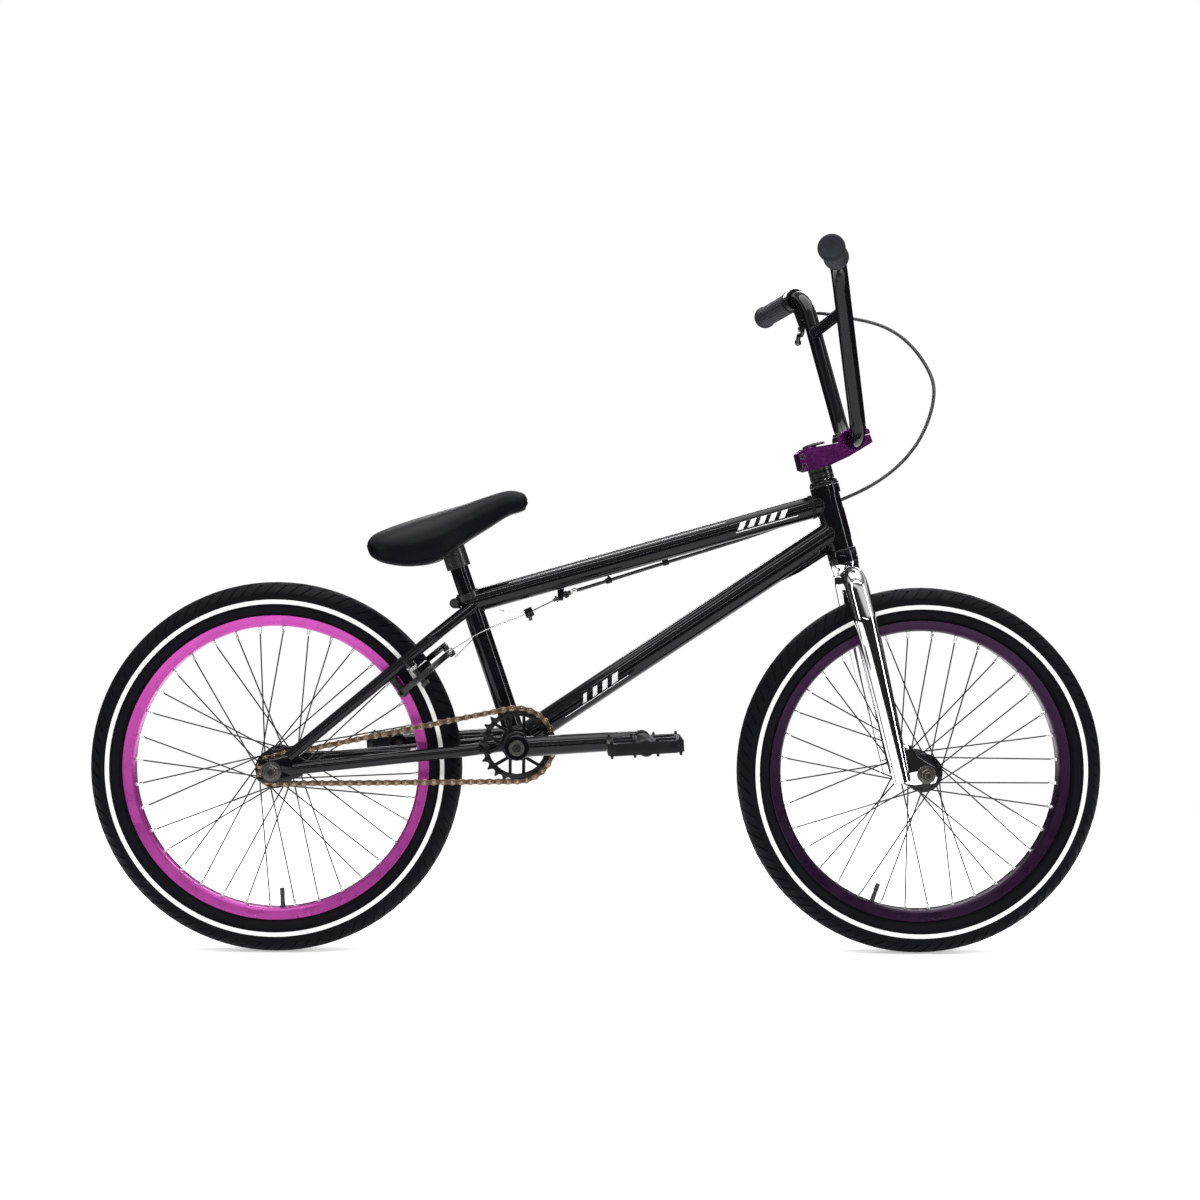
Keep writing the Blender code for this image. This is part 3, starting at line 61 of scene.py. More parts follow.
SEAT_UP = Vector((-cos(radians(71)), 0, sin(radians(71))))
HEAD_LENGTH = 0.111
HEAD_HIGH = HEAD_LOW + STEER_UP * HEAD_LENGTH
SIDES = {"right": -1, "left": 1}

HEAD_RADIUS = 0.0182
TOP_TUBE_RADIUS = 0.0159
DOWN_TUBE_RADIUS = 0.0175
SEAT_TUBE_RADIUS = 0.0143
SEAT_TUBE_TOP_Z = 0.503
STAY_RADIUS = 0.008
BB_SHELL_RADIUS = 0.0225
BB_SHELL_HALF = 0.034
STEERER_RADIUS = 0.0143
TYRE_RADIUS = 0.257
TYRE_SECTION = 0.0275
RIM_RADIUS = 0.2115
RIM_INNER = 0.196
CHAIN_LINE = 0.045
CHAIN_PITCH = 0.0127
SPROCKET_TEETH = 25
DRIVER_TEETH = 9
CRANK_OFFSET = 0.079
BAR_RADIUS = 0.0111


def on_axis(point, direction, z):
    """Point at height z of the line through point."""
    return point + direction * ((z - point.z) / direction.z)


def on_steer(z):
    return on_axis(HEAD_LOW, STEER_UP, z)


def on_seat(z):
    return on_axis(BB, SEAT_UP, z)


def finish_of(name, color, shade, rough, metallic=0.0, patch=60, grain=900, bump=0.00004,
              specular=0.5, wear=None):
    """Procedural finish: two colours in soft patches, uneven gloss, fine grain and optional worn edges."""
    made = bpy.data.materials.new(name)
    made.use_nodes = True
    tree = made.node_tree
    shader = tree.nodes["Principled BSDF"]
    link = tree.links.new
    place = tree.nodes.new("ShaderNodeTexCoord").outputs["Object"]

    def noise(scale, detail):
        node = tree.nodes.new("ShaderNodeTexNoise")
        node.inputs["Scale"].default_value = scale
        node.inputs["Detail"].default_value = detail
        link(place, node.inputs["Vector"])
        return node.outputs["Fac"]

    def mixed(factor, low, high):
        node = tree.nodes.new("ShaderNodeMix")
        node.data_type = "RGBA"
        link(factor, node.inputs["Factor"])
        for socket, value in ((node.inputs[6], low), (node.inputs[7], high)):
            if isinstance(value, tuple):
                socket.default_value = (*value, 1)
            else:
                link(value, socket)
        return node.outputs[2]

    tone = mixed(noise(patch, 4), color, shade)
    if wear:
        ramp = tree.nodes.new("ShaderNodeMapRange")
        ramp.inputs["From Min"].default_value = 0.53
        ramp.inputs["From Max"].default_value = 0.6
        link(tree.nodes.new("ShaderNodeNewGeometry").outputs["Pointiness"], ramp.inputs["Value"])
        tone = mixed(ramp.outputs["Result"], tone, wear)
    link(tone, shader.inputs["Base Color"])
    gloss = tree.nodes.new("ShaderNodeMapRange")
    gloss.inputs["From Min"].default_value = 0.3
    gloss.inputs["From Max"].default_value = 0.7
    gloss.inputs["To Min"].default_value = rough[0]
    gloss.inputs["To Max"].default_value = rough[1]
    link(noise(patch * 0.7, 6), gloss.inputs["Value"])
    link(gloss.outputs["Result"], shader.inputs["Roughness"])
    relief = tree.nodes.new("ShaderNodeBump")
    relief.inputs["Distance"].default_value = bump
    relief.inputs["Strength"].default_value = 0.6
    link(noise(grain, 5), relief.inputs["Height"])
    link(relief.outputs["Normal"], shader.inputs["Normal"])
    shader.inputs["Metallic"].default_value = metallic
    shader.inputs["Specular IOR Level"].default_value = specular
    return made


PAINT = finish_of("gloss_black_enamel", (0.003, 0.003, 0.0042), (0.005, 0.005, 0.0065),
                  (0.05, 0.11), patch=25, grain=500, bump=0.00001, specular=0.2)
CHROME = finish_of("mirror_chrome", (0.8, 0.8, 0.83), (0.7, 0.7, 0.74), (0.03, 0.08), 1.0,
                   patch=30, grain=700, bump=0.000004)
PURPLE = finish_of("purple_anodising", (0.044, 0.003, 0.048), (0.06, 0.005, 0.064),
                   (0.18, 0.26), 0.9, patch=30, grain=1800, bump=0.00002)
DEEP_PURPLE = finish_of("deep_purple_anodising", (0.014, 0.003, 0.018),
                        (0.026, 0.005, 0.03), (0.24, 0.36), 0.75, patch=60, grain=1800, bump=0.00002)
MAGENTA = finish_of("magenta_anodising", (0.36, 0.042, 0.27), (0.44, 0.06, 0.34),
                    (0.24, 0.36), 0.7, patch=60, grain=1800, bump=0.00002)
TYRE = finish_of("tyre_tread_rubber", (0.0016, 0.0018, 0.0032), (0.0032, 0.0036, 0.0058),
                 (0.5, 0.72), patch=45, grain=1400, bump=0.00012, specular=0.06)
WHITE_LINE = finish_of("white_sidewall_line", (0.78, 0.78, 0.77), (0.7, 0.7, 0.68),
                       (0.45, 0.62), patch=120, grain=1500, bump=0.00006)
BUTYL = finish_of("butyl_valve_rubber", (0.01, 0.01, 0.011), (0.018, 0.018, 0.019),
                  (0.5, 0.7), patch=200)
PAD = finish_of("brake_pad_rubber", (0.012, 0.012, 0.012), (0.022, 0.022, 0.022),
                (0.7, 0.85), patch=250)
GRIP = finish_of("grip_rubber_moulded", (0.009, 0.01, 0.014), (0.017, 0.018, 0.024),
                 (0.55, 0.75), patch=150, grain=2000, bump=0.00008, specular=0.25)
BLACK_STEEL = finish_of("black_oxide", (0.012, 0.012, 0.013), (0.03, 0.029, 0.028),
                        (0.26, 0.42), 0.8, patch=220, grain=1500, wear=(0.09, 0.085, 0.08))
SPOKE = finish_of("black_spoke_wire", (0.01, 0.01, 0.011), (0.02, 0.02, 0.021),
                  (0.28, 0.4), 0.6, patch=90)
BRIGHT = finish_of("bright_zinc", (0.62, 0.62, 0.62), (0.48, 0.48, 0.47), (0.2, 0.34),
                   1.0, patch=300)
CHAIN = finish_of("bronze_chain_plate", (0.135, 0.085, 0.055), (0.06, 0.038, 0.027),
                  (0.28, 0.46), 1.0, patch=160, grain=1600, bump=0.00004, wear=(0.32, 0.24, 0.17))
CHAIN_PIN = finish_of("chain_pin_steel", (0.46, 0.36, 0.27), (0.34, 0.25, 0.17),
                      (0.2, 0.34), 1.0, patch=300)
ALLOY = finish_of("black_anodised", (0.005, 0.005, 0.006), (0.01, 0.01, 0.012),
                  (0.22, 0.34), 0.7, patch=110, grain=1700, wear=(0.06, 0.06, 0.065))
NYLON = finish_of("moulded_nylon", (0.003, 0.003, 0.0038), (0.006, 0.006, 0.007),
                  (0.36, 0.55), patch=130, grain=1100, bump=0.0001, specular=0.14)
LEATHER = finish_of("saddle_leather", (0.001, 0.0013, 0.003), (0.0018, 0.0023, 0.0046),
                    (0.38, 0.5), patch=18, grain=750, bump=0.00022, specular=0.08)
CASING = finish_of("cable_casing_plastic", (0.009, 0.009, 0.01), (0.015, 0.015, 0.016),
                   (0.25, 0.4), patch=80)
# White print for the lettering bars and lines; the same material also paints a highlight line along the top
# tube.
PRINT_AND_PAINTED_HIGHLIGHT = finish_of("white_print_and_painted_highlight", (0.75, 0.75, 0.76), (0.66, 0.66, 0.67),
                  (0.25, 0.36), patch=90)


# ---------------------------------------------------------------- modelling tools
def basis(direction):
    """Two unit vectors square to direction."""
    direction = Vector(direction).normalized()
    first = direction.cross(Y_AXIS if abs(direction.y) < 0.9 else X_AXIS).normalized()
    return first, direction.cross(first)


def circle(centre, direction, radius, sides, flat=1.0):
    first, second = basis(direction)
    steps = [2 * pi * i / sides for i in range(sides)]
    return [centre + first * (radius * cos(a)) + second * (radius * flat * sin(a)) for a in steps]


class Shape:
    """Faces gathered from simple forms, made into one piece by piece()."""

    def __init__(self):
        self.points = []
        self.faces = []

    def add(self, points, faces):
        base = len(self.points)
        self.points += [Vector(p) for p in points]
        self.faces += [[base + i for i in face] for face in faces]
        return self

    def loft(self, rings, closed=False, caps=True):
        """Skin over rings of equal count; closed joins the last to the first."""
        count, total = len(rings[0]), len(rings)
        faces = []
        for a in range(total if closed else total - 1):
            b = (a + 1) % total
            for i in range(count):
                j = (i + 1) % count
                faces.append((a * count + i, a * count + j, b * count + j, b * count + i))
        if caps and not closed:
            faces.append(list(reversed(range(count))))
            faces.append([(total - 1) * count + i for i in range(count)])
        return self.add([p for ring in rings for p in ring], faces)

    def tube(self, path, radius, sides=20, closed=False, flat=1.0):
        """Round bar along a path; radius is one number or one for each point."""
        path = [Vector(p) for p in path]
        radii = radius if isinstance(radius, list) else [radius] * len(path)
        rings, side = [], None
        for i, point in enumerate(path):
            before = path[i - 1] if i or closed else point
            after = path[(i + 1) % len(path)] if closed or i + 1 < len(path) else point
            along = (after - before).normalized()
            side = basis(along)[0] if side is None else (side - along * side.dot(along)).normalized()
            up = along.cross(side)
            steps = [2 * pi * k / sides for k in range(sides)]
            rings.append([point + side * (radii[i] * cos(a)) + up * (radii[i] * flat * sin(a))
                          for a in steps])
        return self.loft(rings, closed)

    def turn(self, profile, start, direction, steps=64, ring=False):
        """Solid of revolution from (radius, height) points."""
        direction = Vector(direction).normalized()
        rings = [circle(start + direction * height, direction, max(radius, 1e-6), steps)
                 for radius, height in profile]
        return self.loft(rings, closed=ring, caps=False)

    def hex(self, start, direction, radius, height, socket=0.0):
        """Hexagon nut or bolt head with chamfered corners and an optional round socket."""
        direction = Vector(direction).normalized()
        rings = [circle(start, direction, radius, 6), circle(start + direction * height * 0.8,
                                                             direction, radius, 6),
                 circle(start + direction * height, direction, radius * 0.86, 6)]
        if socket:
            rings.append(circle(start + direction * height, direction, socket, 6))
            rings.append(circle(start + direction * height * 0.35, direction, socket * 0.95, 6))
        return self.loft(rings)

    def plate(self, outlines, thickness, place, bevel=0.0004):
        """Flat plate with rounded edges from its outline and the outlines of its holes."""
        curve = bpy.data.curves.new("outline", "CURVE")
        curve.dimensions = "2D"
        curve.fill_mode = "BOTH"
        curve.extrude = thickness / 2 - bevel
        curve.bevel_depth = bevel
        curve.bevel_resolution = 1
        curve.offset = -bevel
        for outline in outlines:
            spline = curve.splines.new("POLY")
            spline.points.add(len(outline) - 1)
            for point, (u, v) in zip(spline.points, outline):
                point.co = (u, v, 0, 1)
            spline.use_cyclic_u = True
        shown = bpy.data.objects.new("outline", curve)
        mesh = bpy.data.meshes.new_from_object(shown)
        self.add([place @ v.co for v in mesh.vertices], [list(p.vertices) for p in mesh.polygons])
        bpy.data.objects.remove(shown)
        bpy.data.curves.remove(curve)
        bpy.data.meshes.remove(mesh)
        return self


def piece(name, shape, mat, body, replaces=(), sharp=38):
    """Makes the shape one smooth-shaded object that rides on a body."""
    mesh = bpy.data.meshes.new(name)
    mesh.from_pydata([tuple(p) for p in shape.points], [], shape.faces)
    bm = bmesh.new()
    bm.from_mesh(mesh)
    bmesh.ops.remove_doubles(bm, verts=bm.verts, dist=0.000003)
    bmesh.ops.dissolve_degenerate(bm, edges=bm.edges, dist=0.000003)
    bmesh.ops.recalc_face_normals(bm, faces=bm.faces)
    bm.to_mesh(mesh)
    bm.free()
    mesh.materials.append(mat)
    mesh.shade_smooth()
    mesh.set_sharp_from_angle(angle=radians(sharp))
    made = bpy.data.objects.new(name, mesh)
    bpy.context.scene.collection.objects.link(made)
    if body:
        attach(made, body)
    if replaces:
        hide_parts(*replaces)
    return made


def bevelled(obj, width, segments=2):
    step = obj.modifiers.new("edges", "BEVEL")
    step.width = width
    step.segments = segments
    step.limit_method = "ANGLE"
    step.angle_limit = radians(35)
    flats = obj.modifiers.new("flats", "WEIGHTED_NORMAL")
    flats.keep_sharp = True
    return obj


def arc(x, z, radius, start, step, count):
    """Outline points round (x, z), from start degrees in steps of step degrees."""
    turns = [radians(start + step * i) for i in range(count)]
    return [(x + radius * cos(turn), z + radius * sin(turn)) for turn in turns]


def across(y):
    """Placement of a plate drawn in X and Z, standing at that Y."""
    return Matrix.Translation((0, y, 0)) @ Matrix.Rotation(pi / 2, 4, "X")


def smooth_path(points, per_span):
    """Catmull-Rom curve through the points."""
    points = [Vector(p) for p in points]
    ends = [points[0] * 2 - points[1]] + points + [points[-1] * 2 - points[-2]]
    path = []
    for a, b, c, d in zip(ends, ends[1:], ends[2:], ends[3:]):
        for i in range(per_span):
            t = i / per_span
            path.append(0.5 * ((2 * b) + (c - a) * t + (2 * a - 5 * b + 4 * c - d) * t * t
                               + (3 * b - a - 3 * c + d) * t * t * t))
    return path + [points[-1]]


def rounded_path(corners, radius, count=12):
    """Polyline with each inner corner rounded by an arc."""
    corners = [Vector(c) for c in corners]
    path = [corners[0]]
    for before, corner, after in zip(corners, corners[1:], corners[2:]):
        back, ahead = (before - corner).normalized(), (after - corner).normalized()
        half = back.angle(ahead) / 2
        reach = radius / tan(half)
        middle = corner + (back + ahead).normalized() * (radius / sin(half))
        first, last = corner + back * reach - middle, corner + ahead * reach - middle
        sweep = first.angle(last)
        for i in range(count):
            t = i / (count - 1)
            path.append(middle + (first * sin((1 - t) * sweep) + last * sin(t * sweep)) / sin(sweep))
    return path + [corners[-1]]


def mitre(start, toward, radius, target, sides=40):
    """Where a tube from start towards a point meets a cylinder (point, direction, radius)."""
    along = (Vector(toward) - Vector(start)).normalized()
    foot, axis, reach = target
    axis = axis.normalized()
    ring = []
    for rim in circle(Vector(start), along, radius, sides):
        gap = rim - foot
        gap -= axis * gap.dot(axis)
        run = along - axis * along.dot(axis)
        a, b, c = run.dot(run), 2 * run.dot(gap), gap.dot(gap) - reach * reach
        ring.append(rim + along * ((-b + sqrt(max(b * b - 4 * a * c, 0))) / (2 * a)))
    return ring


def in_step(ring, order, axis):
    """The ring's points in the order of another ring round the same axis."""
    return [min(ring, key=lambda p, o=o: ((p - o) - axis * (p - o).dot(axis)).length) for o in order]


def mitred_tube(tubes, welds, start, end, radius, at_start, at_end, sides=40):
    """Straight tube whose ends follow the tubes that they meet, with a weld bead round each."""
    along = (end - start).normalized()
    first = mitre(start, end, radius, at_start, sides)
    last = in_step(mitre(end, start, radius, at_end, sides), circle(end, end - start, radius, sides), along)
    tubes.loft([first, last])
    weld(welds, first)
    weld(welds, last)


def weld(welds, ring, size=0.0016, ripples=3):
    """Bead of overlapping ripples along a closed line."""
    fine = []
    for a, b in zip(ring, ring[1:] + ring[:1]):
        fine += [a.lerp(b, k / ripples) for k in range(ripples)]
    welds.tube(fine, [size * (1.0 if i % ripples else 0.72) for i in range(len(fine))], 8, closed=True)


def refined(node, mat, body, bevel=0.0005, sharp=42):
    """A copy of a CAD node with rounded edges and smooth shading, shown in its place."""
    source = frame["nodes"][node].data
    shape = Shape().add([v.co for v in source.vertices], [list(p.vertices) for p in source.polygons])
    made = piece(node + "_finished", shape, mat, body, [node], sharp)
    bm = bmesh.new()
    bm.from_mesh(made.data)
    bmesh.ops.dissolve_limit(bm, angle_limit=radians(0.5), verts=bm.verts, edges=bm.edges)
    bm.to_mesh(made.data)
    bm.free()
    return bevelled(made, bevel) if bevel else made


# ---------------------------------------------------------------- camera, light and floor
CAMERA_PLACE = (-0.08676, -2.67058, 0.55793)
CAMERA_TURN = (radians(-1.8196), radians(-1.3963), -0.0095)
LENS = 57.39
FLOOR_RADIUS = 1.75
FLOOR_GLOW = 0.42


def build_stage():
    camera = bpy.data.objects.new("camera", bpy.data.cameras.new("camera"))
    camera.data.sensor_width = 36
    camera.data.lens = LENS
    camera.data.clip_end = 50
    yaw, pitch, roll = CAMERA_TURN
    forward = Matrix.Rotation(yaw, 3, "Z") @ Vector((0, 1, 0))
    right = forward.cross(Z_AXIS).normalized()
    forward = Matrix.Rotation(pitch, 3, right) @ forward
    right = Matrix.Rotation(roll, 3, forward) @ right
    turn = Matrix((right, right.cross(forward), -forward)).transposed().to_4x4()
    camera.matrix_world = Matrix.Translation(CAMERA_PLACE) @ turn
    bpy.context.scene.collection.objects.link(camera)
    bpy.context.scene.camera = camera

    mesh = bpy.data.meshes.new("floor")
    rim = [(x, y, 0) for x, y in arc(0, 0, FLOOR_RADIUS, 0, 3.75, 96)]
    mesh.from_pydata(rim, [], [list(range(96))])
    pale = finish_of("pale_floor", (0.9, 0.9, 0.9), (0.88, 0.88, 0.88), (0.8, 0.9), patch=2,
                     grain=40, bump=0.0, specular=0.05)
    sockets = pale.node_tree.nodes["Principled BSDF"].inputs
    sockets["Emission Color"].default_value = (1, 1, 1, 1)
    sockets["Emission Strength"].default_value = FLOOR_GLOW
    mesh.materials.append(pale)
    ground = bpy.data.objects.new("floor", mesh)
    bpy.context.scene.collection.objects.link(ground)

    world = bpy.data.worlds.new("studio")
    world.use_nodes = True
    nodes, link = world.node_tree.nodes, world.node_tree.links.new
    room = nodes["Background"]
    room.inputs["Strength"].default_value = 1.0
    split = nodes.new("ShaderNodeSeparateXYZ")
    link(nodes.new("ShaderNodeTexCoord").outputs["Generated"], split.inputs[0])
    ramp = nodes.new("ShaderNodeValToRGB")
    link(split.outputs["Z"], ramp.inputs[0])
    bands = ((0.0, 0.02), (0.16, 0.02), (0.3, 0.03), (0.38, 0.75), (0.5, 0.8), (0.58, 0.1), (1.0, 0.2))
    ramp.color_ramp.elements.remove(ramp.color_ramp.elements[0])
    for place, level in bands:
        step = ramp.color_ramp.elements.new(place)
        step.color = (level, level, level, 1)
    ramp.color_ramp.elements.remove(ramp.color_ramp.elements[-1])
    link(ramp.outputs[0], room.inputs["Color"])
    seen = nodes.new("ShaderNodeBackground")
    mix = nodes.new("ShaderNodeMixShader")
    link(nodes.new("ShaderNodeLightPath").outputs["Is Camera Ray"], mix.inputs[0])
    link(room.outputs[0], mix.inputs[1])
    link(seen.outputs[0], mix.inputs[2])
    seen.inputs["Color"].default_value = (1, 1, 1, 1)
    seen.inputs["Strength"].default_value = 1.0
    link(mix.outputs[0], nodes["World Output"].inputs[0])
    bpy.context.scene.world = world
    bpy.context.scene.view_settings.view_transform = "Standard"

    lights = (("overhead", (0.0, 0.2, 3.0), (0, 0, 0), 3.6, 2.4, 105),
              ("strip_high", (0.2, -1.5, 2.2), (0.1, 0, 0.5), 3.0, 0.1, 26),
              ("strip_low", (0.0, -2.6, 0.9), (0.0, 0, 0.45), 2.6, 0.05, 6),
              ("strip_front", (2.6, -1.2, 1.2), (0.2, 0, 0.5), 0.2, 2.0, 26),
              ("strip_rear", (-2.6, -1.4, 1.2), (-0.2, 0, 0.5), 0.2, 2.0, 22),
              ("far_side", (0.4, 2.6, 1.8), (0, 0, 0.5), 2.6, 0.25, 26),)
    for name, place, aim, width, height, power in lights:
        lamp = bpy.data.lights.new(name, "AREA")
        lamp.shape = "RECTANGLE"
        lamp.size, lamp.size_y, lamp.energy = width, height, power
        holder = bpy.data.objects.new(name, lamp)
        holder.location = place
        holder.rotation_euler = (Vector(aim) - Vector(place)).to_track_quat("-Z", "Y").to_euler()
        holder.visible_camera = False
        bpy.context.scene.collection.objects.link(holder)


# ---------------------------------------------------------------- frame
TOP_REAR = Vector((-0.1837, 0, 0.4875))
TOP_FRONT = Vector((0.319, 0, 0.6328))
DOWN_FRONT = Vector((0.318, 0, 0.5874))
SEAT_STAY = [(-0.1765, 0.0075, 0.4855), (-0.232, 0.037, 0.4405), (-0.426, 0.0592, 0.2765)]
CHAIN_STAY = [(-0.118, 0.024, 0.293), (-0.185, 0.0395, 0.285), (-0.42, 0.0592, 0.2605)]
STAY_DIRECTION = Vector((0.765, 0, 0.644)).normalized()
BRAKE_FORWARD = Vector((0.644, 0, -0.765)).normalized()
HEAD_TUBE = (HEAD_LOW, STEER_UP, HEAD_RADIUS)
SEAT_TUBE = (BB, SEAT_UP, SEAT_TUBE_RADIUS)
SHELL = (BB, Y_AXIS, BB_SHELL_RADIUS)


def brake_point(along, forward, side):
    return REAR_HUB + STAY_DIRECTION * along + BRAKE_FORWARD * forward + Y_AXIS * side


def head_tube(shape):
    cup, wall = 0.0205, 0.0161
    profile = [(wall, 0), (cup - 0.0006, 0), (cup, 0.0006), (cup, 0.0055), (cup - 0.0006, 0.006),
               (cup - 0.0006, 0.0068), (cup, 0.0074), (cup, 0.018), (cup - 0.001, 0.0195),
               (HEAD_RADIUS, 0.02), (HEAD_RADIUS, HEAD_LENGTH - 0.013), (cup, HEAD_LENGTH - 0.012),
               (cup, HEAD_LENGTH - 0.005), (cup - 0.0006, HEAD_LENGTH - 0.0046), (cup, HEAD_LENGTH - 0.004),
               (cup, HEAD_LENGTH - 0.0005), (cup - 0.0006, HEAD_LENGTH), (wall, HEAD_LENGTH)]
    shape.turn(profile, HEAD_LOW, STEER_UP, 72, ring=True)


def stay(tubes, welds, points, side, radius, target):
    """Bent stay of one side, mitred to the tube that it starts from."""
    at = [Vector((x, side * y, z)) for x, y, z in points]
    path = rounded_path(at, 0.05, 8)
    sides = 24
    first = mitre(path[0], path[1], radius, target, sides)
    rest = Shape()
    rest.tube(path[1:], radius, sides)
    tubes.loft([first, circle(path[1], path[1] - path[0], radius, sides)])
    tubes.add(rest.points, rest.faces)
    weld(welds, first, 0.0013, 2)


def rear_dropout(shape, side):
    x, z = REAR_HUB.x, REAR_HUB.z
    slot = arc(x + 0.002, z, 0.0077, -90, 18, 11)
    outline = [(x - 0.019, z + 0.0075), (x - 0.016, z + 0.0128), (x - 0.012, z + 0.0165),
               (x - 0.004, z + 0.018), (x + 0.006, z + 0.019), (x + 0.018, z + 0.0222),
               (x + 0.03, z + 0.026), (x + 0.037, z + 0.0215), (x + 0.04, z + 0.014),
               (x + 0.042, z + 0.004), (x + 0.042, z - 0.006), (x + 0.032, z - 0.0095),
               (x + 0.02, z - 0.013), (x + 0.008, z - 0.0155), (x - 0.004, z - 0.0165),
               (x - 0.013, z - 0.0155), (x - 0.019, z - 0.0125), (x - 0.021, z - 0.0077)] + slot
    shape.plate([outline], 0.006, across(side * 0.058), 0.0007)


def build_frame():
    tubes, welds = Shape(), Shape()
    head_tube(tubes)
    mitred_tube(tubes, welds, TOP_REAR, TOP_FRONT, TOP_TUBE_RADIUS, SEAT_TUBE, HEAD_TUBE)
    mitred_tube(tubes, welds, BB, DOWN_FRONT, DOWN_TUBE_RADIUS, SHELL, HEAD_TUBE)
    seat_top = on_seat(SEAT_TUBE_TOP_Z)
    seat_low = BB + SEAT_UP * (BB_SHELL_RADIUS * 0.93)
    tall = (seat_top - seat_low).length
    wall = 0.01295
    tubes.turn([(wall, 0), (SEAT_TUBE_RADIUS, 0), (SEAT_TUBE_RADIUS, tall - 0.013), (0.0155, tall - 0.012),
                (0.0155, tall - 0.0006), (0.0149, tall), (wall, tall)], seat_low, SEAT_UP, 56, ring=True)
    weld(welds, mitre(BB, seat_top, SEAT_TUBE_RADIUS, SHELL))
    tubes.turn([(0.0207, 0), (0.0219, 0), (BB_SHELL_RADIUS, 0.0006), (BB_SHELL_RADIUS, 0.0674),
                (0.0219, 0.068), (0.0207, 0.068)], BB - Y_AXIS * BB_SHELL_HALF, Y_AXIS, 64, ring=True)
    for side in SIDES.values():
        stay(tubes, welds, SEAT_STAY, side, STAY_RADIUS, SEAT_TUBE)
        stay(tubes, welds, CHAIN_STAY, side, STAY_RADIUS + 0.0005, SHELL)
        rear_dropout(tubes, side)
        foot, tip = brake_point(0.236, -0.002, side * 0.044), brake_point(0.236, 0.01, side * 0.044)
        tubes.tube([foot, tip], 0.0072, 24)
        weld(welds, circle(foot.lerp(tip, 0.35), tip - foot, 0.0074, 24), 0.0012, 2)
    piece("frame_tubes", tubes, PAINT, "frame", ["frame"])
    piece("frame_weld_beads", welds, PAINT, "frame", sharp=60)

    clamp = on_seat(SEAT_TUBE_TOP_Z - 0.01) + Vector((-0.0205, 0, -0.0065))
    lugs = Shape()
    for side in SIDES.values():
        outline = [(clamp.x + 0.0085, clamp.z - 0.007), (clamp.x + 0.0085, clamp.z + 0.007)]
        outline += arc(clamp.x, clamp.z, 0.007, 90, 15, 13)
        lugs.plate([outline], 0.0075, across(side * 0.0052), 0.0006)
    stop = Vector((-0.057, 0, 0.4965))
    lugs.plate([[(stop.x - 0.0035, stop.z - 0.005), (stop.x + 0.0035, stop.z - 0.005),
                 (stop.x + 0.005, stop.z + 0.017), (stop.x - 0.005, stop.z + 0.014)]], 0.0075,
               across(0), 0.0008)
    piece("frame_lugs", lugs, PAINT, "frame")
    gusset = Shape()
    along = (DOWN_FRONT - BB).normalized()
    low = BB.lerp(DOWN_FRONT, 0.82)
    under = Vector((along.z, 0, -along.x))
    near, far = low + under * 0.0168, BB.lerp(DOWN_FRONT, 0.985) + under * 0.0168
    corners = [near, far, far + under * 0.0055, near.lerp(far, 0.35) + under * 0.0045]
    gusset.plate([[(p.x, p.z) for p in corners]], 0.01, across(0), 0.0007)
    piece("frame_gusset", gusset, PAINT, "frame")


def tube_patch(shape, start, end, radius, span, arc, skew=0.0, rows=8):
    """Thin strip laid on a tube: span along it in metres, arc round it in degrees from the drive side."""
    along = (end - start).normalized()
    up = along.cross(Y_AXIS).normalized()
    up = up if up.z > 0 else -up
    rings = []
    for lift in (0.00004, 0.00022):
        for i in range(rows + 1):
            turn = radians(arc[0] + (arc[1] - arc[0]) * i / rows)
            out = -Y_AXIS * cos(turn) + up * sin(turn)
            slide = skew * sin(turn)
            rings.append([start + along * (s + slide) + out * (radius + lift) for s in span])
    count = rows + 1
    points = [p for ring in rings for p in ring]
    faces = []
    for i in range(rows):
        a, b = 2 * i, 2 * (i + 1)
        faces.append((a, b, b + 1, a + 1))
        c, d = a + 2 * count, b + 2 * count
        faces.append((c, c + 1, d + 1, d))
        faces.append((a, c, d, b))
        faces.append((a + 1, b + 1, d + 1, c + 1))
    last = 2 * rows
    faces.append((0, 1, 2 * count + 1, 2 * count))
    faces.append((last, 2 * count + last, 2 * count + last + 1, last + 1))
    shape.add(points, faces)


def build_stripes():
    """Plain slanted bars and lines where the real bike has its lettering, and a painted highlight: one thin
    white line along the top tube's upper side.
    """
    top, down = Shape(), Shape()
    top_from = (TOP_FRONT - TOP_REAR).length
    for i in range(5):
        at = top_from - 0.135 + i * 0.015
        tube_patch(top, TOP_REAR, TOP_FRONT, TOP_TUBE_RADIUS, (at, at + 0.0085), (-12, 24), 0.012)
    tube_patch(top, TOP_REAR, TOP_FRONT, TOP_TUBE_RADIUS, (top_from - 0.14, top_from - 0.05), (-24, -20))
    # Painted highlight: a thin white line along the upper front side of the top tube, where the lamps'
    # reflection runs on the gloss paint.
    tube_patch(top, TOP_REAR, TOP_FRONT, TOP_TUBE_RADIUS, (0.06, top_from - 0.15), (47, 49))
    piece("top_tube_stripes_and_painted_highlight", top, PRINT_AND_PAINTED_HIGHLIGHT, "frame", sharp=80)
    for i in range(4):
        at = 0.11 + i * 0.016
        tube_patch(down, BB, DOWN_FRONT, DOWN_TUBE_RADIUS, (at, at + 0.006 + i * 0.0012), (-18, 18), 0.012)
    tube_patch(down, BB, DOWN_FRONT, DOWN_TUBE_RADIUS, (0.075, 0.18), (-27, -24))
    piece("down_tube_stripes", down, PRINT_AND_PAINTED_HIGHLIGHT, "frame", sharp=80)


